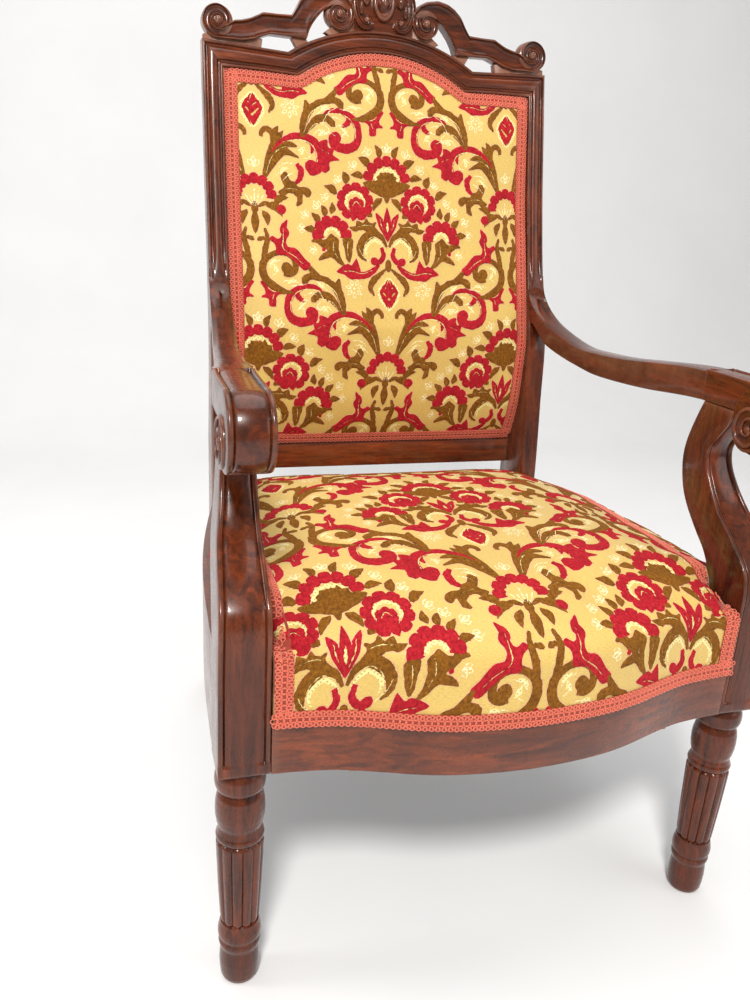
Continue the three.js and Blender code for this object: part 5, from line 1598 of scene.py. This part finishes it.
def dust_cloth():
    """The black cloth under the seat, hanging a little between its tacks.

    Returns the shape, the width and depth of the flat cloth, and its area.
    """
    inner = POST_INNER - 14.3
    front = [(x, float(bow_front(x)) + 14) for x in np.linspace(0, inner, 14)]
    side = [(float(side_outer(y)) - 26, y) for y in np.linspace(54, SEAT_DEPTH - 22, 16)]
    back = [(BACK_INNER - 14.3, y) for y in (SEAT_DEPTH - 20, SEAT_DEPTH + 26)]
    outline = np.array([*front, (inner, 1.5), (inner, 45.8), *side, *back, (0, SEAT_DEPTH + 26)])
    xs, ys = np.arange(9, 290, 18.0), np.arange(-66, 495, 18.0)
    net = np.array([(x, y) for x in xs for y in ys])
    net = np.concatenate([net[within(net, outline)], [(0.0, y) for y in ys[1:]]])
    count = len(outline)
    edges = [(k, (k + 1) % count) for k in range(count)]
    flat, _, faces, *_ = delaunay_2d_cdt([Vector(p) for p in [*outline, *net]], edges, [], 0, 0.02)
    flat = np.array([tuple(p) for p in flat])
    faces = [tuple(face) for face in faces if within(flat[list(face)].mean(0)[None], outline)[0]]
    x, y = flat.T
    share_x = np.clip(np.abs(x) / np.interp(y, *np.array([(p[1], p[0]) for p in side]).T), 0, 1)
    share_y = np.clip(np.abs(y - 215) / 281, 0, 1)
    sag = 5.0 * (1 - share_x ** 2.4) * (1 - share_y ** 2.4)
    ripple = 0.5 * np.sin(x / 17.0 + y / 41.0) * np.clip(sag / 3, 0, 1)
    top = np.stack([x, y, LEG_TOP - 2.4 - sag + ripple], 1)
    shape = together((top, faces), (top - (0, 0, 0.5), [face[::-1] for face in faces]))
    rims = {}
    for face in faces:
        for k in range(3):
            rims[(face[k], face[(k + 1) % 3])] = True
    start = len(top)
    walls = [(b, a, start + a, start + b) for a, b in rims if (b, a) not in rims
             and not on_axis(flat, a, b)]
    half = (shape[0], shape[1] + walls)
    size = (2 * float(outline[:, 0].max()) * MM, float(np.ptp(outline[:, 1])) * MM)
    return together(half, mirrored(half)), size, 2 * area_of(outline) * MM * MM


# ---- Gimp ----
BRAID_LINKS = [  # place across and along the braid, half width and half length, as shares of its measures
    (0.0, 0.0, 0.17, 0.62), (0.26, 0.0, 0.15, 0.34), (-0.26, 0.0, 0.15, 0.34),
    (0.36, 0.5, 0.13, 0.36), (-0.36, 0.5, 0.13, 0.36),
]
STRAND = 0.00075  # radius of the braid's strands


def braid_tree():
    """Geometry nodes that lay interlaced links along a path, each facing away from the cloth."""
    tree = bpy.data.node_groups.new("gimp_braid_links", "GeometryNodeTree")
    face = tree.interface
    face.new_socket("Geometry", in_out="INPUT", socket_type="NodeSocketGeometry")
    for label in ("Pitch", "Braid width", "Strand"):
        face.new_socket(label, in_out="INPUT", socket_type="NodeSocketFloat")
    face.new_socket("Finish", in_out="INPUT", socket_type="NodeSocketMaterial")
    face.new_socket("Geometry", in_out="OUTPUT", socket_type="NodeSocketGeometry")
    node, link = tree.nodes.new, tree.links.new
    start, end = node("NodeGroupInput"), node("NodeGroupOutput")

    def scaled(value, factor):
        product = node("ShaderNodeMath")
        product.operation = "MULTIPLY"
        product.inputs[1].default_value = factor
        link(value, product.inputs[0])
        return product.outputs[0]

    section = node("GeometryNodeCurvePrimitiveCircle")
    section.inputs["Resolution"].default_value = 4
    link(start.outputs["Strand"], section.inputs["Radius"])
    joined = node("GeometryNodeJoinGeometry")
    for place, along, wide, tall in BRAID_LINKS:
        ring = node("GeometryNodeCurvePrimitiveCircle")
        ring.inputs["Resolution"].default_value = 8
        ring.inputs["Radius"].default_value = 1.0
        shape = node("GeometryNodeTransform")
        scale, move = node("ShaderNodeCombineXYZ"), node("ShaderNodeCombineXYZ")
        link(scaled(start.outputs["Pitch"], tall), scale.inputs["X"])
        link(scaled(start.outputs["Braid width"], wide), scale.inputs["Y"])
        scale.inputs["Z"].default_value = 1.0
        link(scaled(start.outputs["Braid width"], place), move.inputs["Y"])
        link(scaled(start.outputs["Pitch"], along), move.inputs["X"])
        link(ring.outputs["Curve"], shape.inputs["Geometry"])
        link(scale.outputs[0], shape.inputs["Scale"])
        link(move.outputs[0], shape.inputs["Translation"])
        strand = node("GeometryNodeCurveToMesh")
        link(shape.outputs[0], strand.inputs["Curve"])
        link(section.outputs["Curve"], strand.inputs["Profile Curve"])
        link(strand.outputs[0], joined.inputs[0])
    path = node("GeometryNodeMeshToCurve")
    link(start.outputs["Geometry"], path.inputs[0])
    even = node("GeometryNodeResampleCurve")
    even.mode = "LENGTH"
    link(path.outputs[0], even.inputs["Curve"])
    link(start.outputs["Pitch"], even.inputs["Length"])
    facing = node("GeometryNodeInputNamedAttribute")
    facing.data_type = "FLOAT_VECTOR"
    facing.inputs["Name"].default_value = "facing"
    turn = node("FunctionNodeAxesToRotation")
    turn.primary_axis, turn.secondary_axis = "Z", "X"
    link(facing.outputs[0], turn.inputs[0])
    link(node("GeometryNodeInputTangent").outputs[0], turn.inputs[1])
    copies = node("GeometryNodeInstanceOnPoints")
    link(even.outputs[0], copies.inputs["Points"])
    link(joined.outputs[0], copies.inputs["Instance"])
    link(turn.outputs[0], copies.inputs["Rotation"])
    real, coat = node("GeometryNodeRealizeInstances"), node("GeometryNodeSetMaterial")
    link(copies.outputs[0], real.inputs[0])
    link(real.outputs[0], coat.inputs[0])
    link(start.outputs["Finish"], coat.inputs["Material"])
    link(coat.outputs[0], end.inputs[0])
    return tree


def lay_gimp(name, runs, stands_for):
    """A border of gimp: a flat ground tape with links braided on it, the tape darkened as painted shade
    between the links.

    Each run is (outer edge, inner edge, facing) in millimetres, point for point.
    """
    tapes, path_points, path_edges, path_facing = [], [], [], []
    for outer, inner, facing in runs:
        outer, inner, facing = (np.asarray(a, float) for a in (outer, inner, facing))
        rings = []
        for o, i, n in zip(outer, inner, facing):
            ring = [o + n * 0.1, o + n * 0.9, o * 0.93 + i * 0.07 + n * 1.3, o * 0.5 + i * 0.5 + n * 1.0,
                    o * 0.07 + i * 0.93 + n * 1.3, i + n * 0.9, i + n * 0.1]
            rings.append(ring)
        tapes.append(loft(rings))
        middle = (outer + inner) / 2 + facing * 1.45
        first = len(path_points)
        path_points += list(middle)
        path_facing += list(facing)
        path_edges += [(first + k, first + k + 1) for k in range(len(middle) - 1)]
    mesh = bpy.data.meshes.new(name + "_path")
    mesh.from_pydata(in_place(path_points).tolist(), path_edges, [])
    attribute = mesh.attributes.new("facing", "FLOAT_VECTOR", "POINT")
    attribute.data.foreach_set("vector", np.array(path_facing).ravel())
    path = add_object(name + "_path", mesh)
    nodes = path.modifiers.new("Braid", "NODES")
    nodes.node_group = bpy.data.node_groups.get("gimp_braid_links") or braid_tree()
    sizes = upholstery()
    values = {"Pitch": sizes.gimp_pitch, "Braid width": sizes.gimp_width, "Strand": STRAND,
              "Finish": material("gimp")}
    for item in nodes.node_group.interface.items_tree:
        if item.in_out == "INPUT" and item.name in values:
            nodes[item.identifier] = values[item.name]
    evaluated = path.evaluated_get(bpy.context.evaluated_depsgraph_get())
    links = bpy.data.meshes.new_from_object(evaluated)
    bpy.data.objects.remove(path)
    points, faces = together(*tapes)
    shell = bmesh.new()
    tape_mesh = bpy.data.meshes.new(name)
    tape_mesh.from_pydata(in_place(points).tolist(), [], faces)
    shell.from_mesh(tape_mesh)
    bmesh.ops.recalc_face_normals(shell, faces=shell.faces)
    shell.from_mesh(links)
    shell.to_mesh(tape_mesh)
    shell.free()
    bpy.data.meshes.remove(links)
    tape_mesh.shade_smooth()
    tape_mesh.materials.clear()
    # The tape takes the darker finish, painted shade between the links; the links take the plain gimp.
    for finish_name in ("gimp_ground_painted_shade", "gimp"):
        tape_mesh.materials.append(material(finish_name))
    tape_mesh.polygons.foreach_set(
        "material_index", [int(k >= len(faces)) for k in range(len(tape_mesh.polygons))])
    return finish(add_object(name, tape_mesh), stands_for)


def run_on(form, outer, inner, lift, flip=False):
    """A run of gimp between two lines drawn on the flat cloth."""
    outer, inner = np.asarray(outer, float), np.asarray(inner, float)
    result = []
    for line in (outer, inner, (outer + inner) / 2):
        mirror = np.where(line[:, :1] < 0, (-1.0, 1.0, 1.0), (1.0, 1.0, 1.0))
        s = np.abs(line[:, 0])
        normal = form.normal(s, line[:, 1]) * mirror * (-1 if flip else 1)
        place = form.lookup(s, line[:, 1]) * mirror
        result.append((place + normal * lift, normal))
    return result[0][0], result[1][0], result[2][1]


def panel_gimp_runs(form, lift, flip=False):
    """Four mitred runs round the back."""
    wide = upholstery().gimp_width / MM
    o, i = BACK_INNER - 0.8, BACK_INNER - 0.8 - wide
    out = []
    for side in (-1, 1):
        top_o, top_i = float(form.edges(o)[1]) - 0.6, float(form.edges(i)[1]) - 0.6 - wide
        share = np.linspace(0, 1, 60)[:, None]
        out.append(run_on(form, (side * o, 0.8) + share * (0, top_o - 0.8),
                          (side * i, 0.8 + wide) + share * (0, top_i - 0.8 - wide), lift, flip))
    foot = np.linspace(-1, 1, 60)
    out.append(run_on(form, np.stack([foot * o, np.full(60, 0.8)], 1),
                      np.stack([foot * i, np.full(60, 0.8 + wide)], 1), lift, flip))
    arch = np.linspace(-1, 1, 110)
    edge = lambda xs, inset: np.array([(x, float(form.edges(abs(x))[1]) - inset) for x in xs])
    out.append(run_on(form, edge(arch * o, 0.6), edge(arch * i, 0.6 + wide), lift, flip))
    return out


# ---- Stage ----
CAMERA_PLACE = (-0.3913, -1.0082, 0.8030)
CAMERA_YAW, CAMERA_PITCH, CAMERA_ROLL = math.radians(17.5296), math.radians(-18.7807), math.radians(-3.2971)
CAMERA_LENS = 31.03


def add_camera():
    ahead = Vector((math.sin(CAMERA_YAW) * math.cos(CAMERA_PITCH),
                    math.cos(CAMERA_YAW) * math.cos(CAMERA_PITCH), math.sin(CAMERA_PITCH)))
    level = Vector((math.cos(CAMERA_YAW), -math.sin(CAMERA_YAW), 0))
    down = -level.cross(ahead)
    right = level * math.cos(CAMERA_ROLL) + down * math.sin(CAMERA_ROLL)
    low = down * math.cos(CAMERA_ROLL) - level * math.sin(CAMERA_ROLL)
    data = bpy.data.cameras.new("view")
    data.lens, data.sensor_width, data.sensor_fit = CAMERA_LENS, 36.0, "AUTO"
    data.clip_start = 0.05
    camera = add_object("view", data)
    turn = Matrix((right, -low, -ahead)).transposed().to_4x4()
    camera.matrix_world = Matrix.Translation(CAMERA_PLACE) @ turn
    bpy.context.scene.camera = camera


def add_light(name, place, aim, size, power, tint=(1, 1, 1)):
    data = bpy.data.lights.new(name, "AREA")
    data.shape, data.size, data.energy, data.color = "DISK", size, power, tint
    lamp = add_object(name, data)
    lamp.location = place
    lamp.rotation_euler = (Vector(aim) - Vector(place)).to_track_quat("-Z", "Y").to_euler()


def add_stage():
    half = 6.0
    curve = [(-half, 0.0), (1.7, 0.0), *[(1.7 + 0.9 * math.sin(a), 0.9 - 0.9 * math.cos(a))
                                         for a in np.linspace(0.1, math.pi / 2, 16)], (2.6, 4.5)]
    points = [(x, y, z) for x in (-half, half) for y, z in curve]
    count = len(curve)
    faces = [(i, i + 1, count + i + 1, count + i) for i in range(count - 1)]
    mesh = bpy.data.meshes.new("studio_floor")
    mesh.from_pydata(points, [], [face[::-1] for face in faces])
    mesh.shade_smooth()
    mesh.materials.append(material("floor"))
    add_object("studio_floor", mesh)
    add_light("key", (-0.9, -2.2, 2.7), (0.0, 0.0, 0.55), 0.55, 92.0, (1.0, 0.97, 0.93))
    add_light("fill", (2.2, -1.8, 1.6), (0.0, 0.0, 0.5), 2.2, 18.0)
    add_light("over", (0.0, 0.3, 3.2), (0.0, 0.0, 0.4), 2.6, 36.0)
    add_light("glint", (-2.4, 0.2, 1.3), (0.0, 0.0, 0.6), 0.7, 14.0)
    world = bpy.data.worlds.new("soft_daylight")
    world.use_nodes = True
    world.node_tree.nodes["Background"].inputs["Color"].default_value = (1, 1, 1, 1)
    world.node_tree.nodes["Background"].inputs["Strength"].default_value = 0.36
    bpy.context.scene.world = world
    bpy.context.scene.view_settings.view_transform = "Standard"
    bpy.context.scene.view_settings.look = "None"


# ---- Operators ----
class ChairStep:
    """What every build step shares."""
    bl_options = {"REGISTER", "UNDO"}


class ARMCHAIR_OT_stage(ChairStep, bpy.types.Operator):
    """Set the floor, the lights and the view"""
    bl_idname = "armchair.stage"
    bl_label = "Stage"

    def execute(self, context):
        add_camera()
        add_stage()
        return {"FINISHED"}


class ARMCHAIR_OT_front_legs(ChairStep, bpy.types.Operator):
    """Turn and reed the two front legs"""
    bl_idname = "armchair.front_legs"
    bl_label = "Front legs"

    def execute(self, context):
        make_pair("front_leg", front_leg(), material("wood_z"), "polished_wood", sharp=38)
        return {"FINISHED"}


class ARMCHAIR_OT_arms(ChairStep, bpy.types.Operator):
    """Shape the consoles, the arms and their scrolls"""
    bl_idname = "armchair.arms"
    bl_label = "Arms and consoles"

    def execute(self, context):
        make_pair("arm_support", arm_support(), material("wood_z"), "polished_wood", sharp=50)
        make_pair("arm", arm(), material("wood_y"), "polished_wood", sharp=50)
        return {"FINISHED"}


class ARMCHAIR_OT_back_frame(ChairStep, bpy.types.Operator):
    """Mould the back posts and the arched top rail"""
    bl_idname = "armchair.back_frame"
    bl_label = "Back frame"

    def execute(self, context):
        make_pair("rear_post", rear_post(), material("wood_z"), "polished_wood", sharp=50)
        make("back_top_rail_moulded", top_rail(), material("wood_x"), "polished_wood", ("back_top_rail",),
             sharp=50)
        make("back_lower_rail_eased", lower_rail(), material("rail_x"), "rail_wood", ("back_lower_rail",))
        return {"FINISHED"}


class ARMCHAIR_OT_crest(ChairStep, bpy.types.Operator):
    """Carve the crest: scrolls, hollow band, hatched plaque and boss"""
    bl_idname = "armchair.crest"
    bl_label = "Crest"

    def execute(self, context):
        half = crest_half()
        make("back_crest_carved", together(half, mirrored(half), hatched_ground(), boss()),
             material("crest"), "polished_wood", ("back_crest",), sharp=50)
        return {"FINISHED"}


class ARMCHAIR_OT_rails(ChairStep, bpy.types.Operator):
    """Shape the seat rails that show"""
    bl_idname = "armchair.rails"
    bl_label = "Seat rails"

    def execute(self, context):
        make("seat_rail_front_bowed", front_rail(), material("rail_x"), "rail_wood", ("seat_rail_front",))
        make_pair("seat_rail", side_rail(), material("wood_y"), "polished_wood")
        return {"FINISHED"}


class ARMCHAIR_OT_inner_parts(ChairStep, bpy.types.Operator):
    """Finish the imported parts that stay: blocks, springs, webbing, screws and dowels"""
    bl_idname = "armchair.inner_parts"
    bl_label = "Inner parts"

    def execute(self, context):
        plain = {
            "timber": ["corner_block_front_right", "corner_block_front_left", "corner_block_rear_right",
                       "corner_block_rear_left", "corner_dowel_right", "corner_dowel_left",
                       "back_panel_frame"],
            "steel": ["arm_screw_right", "arm_screw_left", *[f"seat_spring_{i}" for i in range(1, 6)]],
            "jute": ["seat_webbing", "back_webbing"],
            "hessian": ["seat_hessian", "back_hessian"],
            "rail_x": ["seat_rail_rear"],
        }
        for finish_name, nodes in plain.items():
            for node in nodes:
                refinish(node, finish_name)
        return {"FINISHED"}


class ARMCHAIR_OT_seat(ChairStep, bpy.types.Operator):
    """Stuff and cover the seat, and edge it with gimp"""
    bl_idname = "armchair.seat"
    bl_label = "Seat"

    def execute(self, context):
        form = seat_form()
        outline = seat_outline(form)
        pulled = lambda t: np.where(t < PULL_START, PULL_START + (t - PULL_START) * PULL, t)
        cover = patterned_cover(form, outline, PULL_START - PENDANT, spacing=6.5, thick=1.6, ease=pulled)
        seat = make_cover("seat_cover_damask", cover, ("seat_cover", "seat_stuffing"))
        wide = upholstery().gimp_width / MM
        inner = POST_INNER - 1.4
        xs = np.linspace(-inner, inner, 80)
        bottom = np.array([(x, float(form.edges(abs(x))[0]) + 0.3) for x in xs])
        runs = [run_on(form, bottom, bottom + (0, wide), 0.3)]
        for side in (-1, 1):
            line = outline[(outline[:, 0] > POST_INNER - 1.5) & (outline[:, 0] < POST_INNER - 0.5)]
            stop = float(line[:, 1].max())
            first = float(form.edges(inner)[0]) + wide + 1.0
            ts = np.linspace(first, stop, 70)
            runs.append(run_on(form, np.stack([np.full(70, side * inner), ts], 1),
                               np.stack([np.full(70, side * (inner - wide)), ts], 1), 0.3))
            edge = outline[(outline[:, 0] > POST_INNER + 3) | ((outline[:, 0] > BACK_INNER + 2)
                                                               & (outline[:, 1] > stop + 20))]
            edge = edge[edge[:, 1] > stop] * (side, 1)
            runs.append(run_on(form, edge - (side * 0.5, 0), edge - (side * wide, 0), 0.3))
        lay_gimp("seat_gimp_braid", runs,
                 ("seat_gimp_front", "seat_gimp_riser_right", "seat_gimp_riser_left"))
        return {"FINISHED"}


class ARMCHAIR_OT_back(ChairStep, bpy.types.Operator):
    """Cover the back inside and out, and edge both faces with gimp"""
    bl_idname = "armchair.back"
    bl_label = "Back"

    def execute(self, context):
        form = back_form()
        cover = patterned_cover(form, panel_outline(form, 0.5), 0.0, spacing=5.0, thick=1.4)
        back = make_cover("back_cover_damask", cover, ("back_cover", "back_stuffing"))
        lay_gimp("back_gimp_braid", panel_gimp_runs(form, 0.3), ("back_gimp",))
        outer = plain_form(22.6)
        outline = panel_outline(outer, 0.8)
        cover = patterned_cover(outer, outline, 0.0, spacing=9.0, thick=1.2, face_out=-1)
        cloth = make_cover("back_outer_cover_damask", cover, ("back_outer_cover",))
        lay_gimp("back_outer_gimp_braid", panel_gimp_runs(outer, 0.3, flip=True), ("back_outer_gimp",))
        return {"FINISHED"}


class ARMCHAIR_OT_dust_cloth(ChairStep, bpy.types.Operator):
    """Tack the black cloth under the seat"""
    bl_idname = "armchair.dust_cloth"
    bl_label = "Dust cloth"

    def execute(self, context):
        shape, size, area = dust_cloth()
        cloth = make("seat_dust_cloth_cambric", shape, material("cambric"), "cambric", ("seat_dust_cloth",))
        merge(cloth, 0.00002)
        return {"FINISHED"}


STEPS = [ARMCHAIR_OT_stage, ARMCHAIR_OT_front_legs, ARMCHAIR_OT_arms, ARMCHAIR_OT_back_frame,
         ARMCHAIR_OT_crest, ARMCHAIR_OT_rails, ARMCHAIR_OT_inner_parts,
         ARMCHAIR_OT_dust_cloth, ARMCHAIR_OT_seat, ARMCHAIR_OT_back]
GROUPS = [ArmchairUpholstery, ArmchairFinishes]


class ARMCHAIR_PT_panel(bpy.types.Panel):
    """Build steps and settings of the armchair"""
    bl_label = "Armchair"
    bl_idname = "ARMCHAIR_PT_panel"
    bl_space_type = "VIEW_3D"
    bl_region_type = "UI"
    bl_category = "Armchair"

    def draw(self, context):
        for step in STEPS:
            self.layout.operator(step.bl_idname, text=step.bl_label)
        for group in (context.scene.armchair_upholstery, context.scene.armchair_finishes):
            box = self.layout.box()
            for key in group.__annotations__:
                box.prop(group, key)


def register():
    for kind in (*GROUPS, *STEPS, ARMCHAIR_PT_panel):
        bpy.utils.register_class(kind)
    bpy.types.Scene.armchair_upholstery = bpy.props.PointerProperty(type=ArmchairUpholstery)
    bpy.types.Scene.armchair_finishes = bpy.props.PointerProperty(type=ArmchairFinishes)


def unregister():
    del bpy.types.Scene.armchair_finishes
    del bpy.types.Scene.armchair_upholstery
    for kind in reversed((*GROUPS, *STEPS, ARMCHAIR_PT_panel)):
        bpy.utils.unregister_class(kind)


def main():
    register()
    for step in STEPS:
        getattr(bpy.ops.armchair, step.bl_idname.split(".")[1])()


if __name__ == "__main__":
    main()
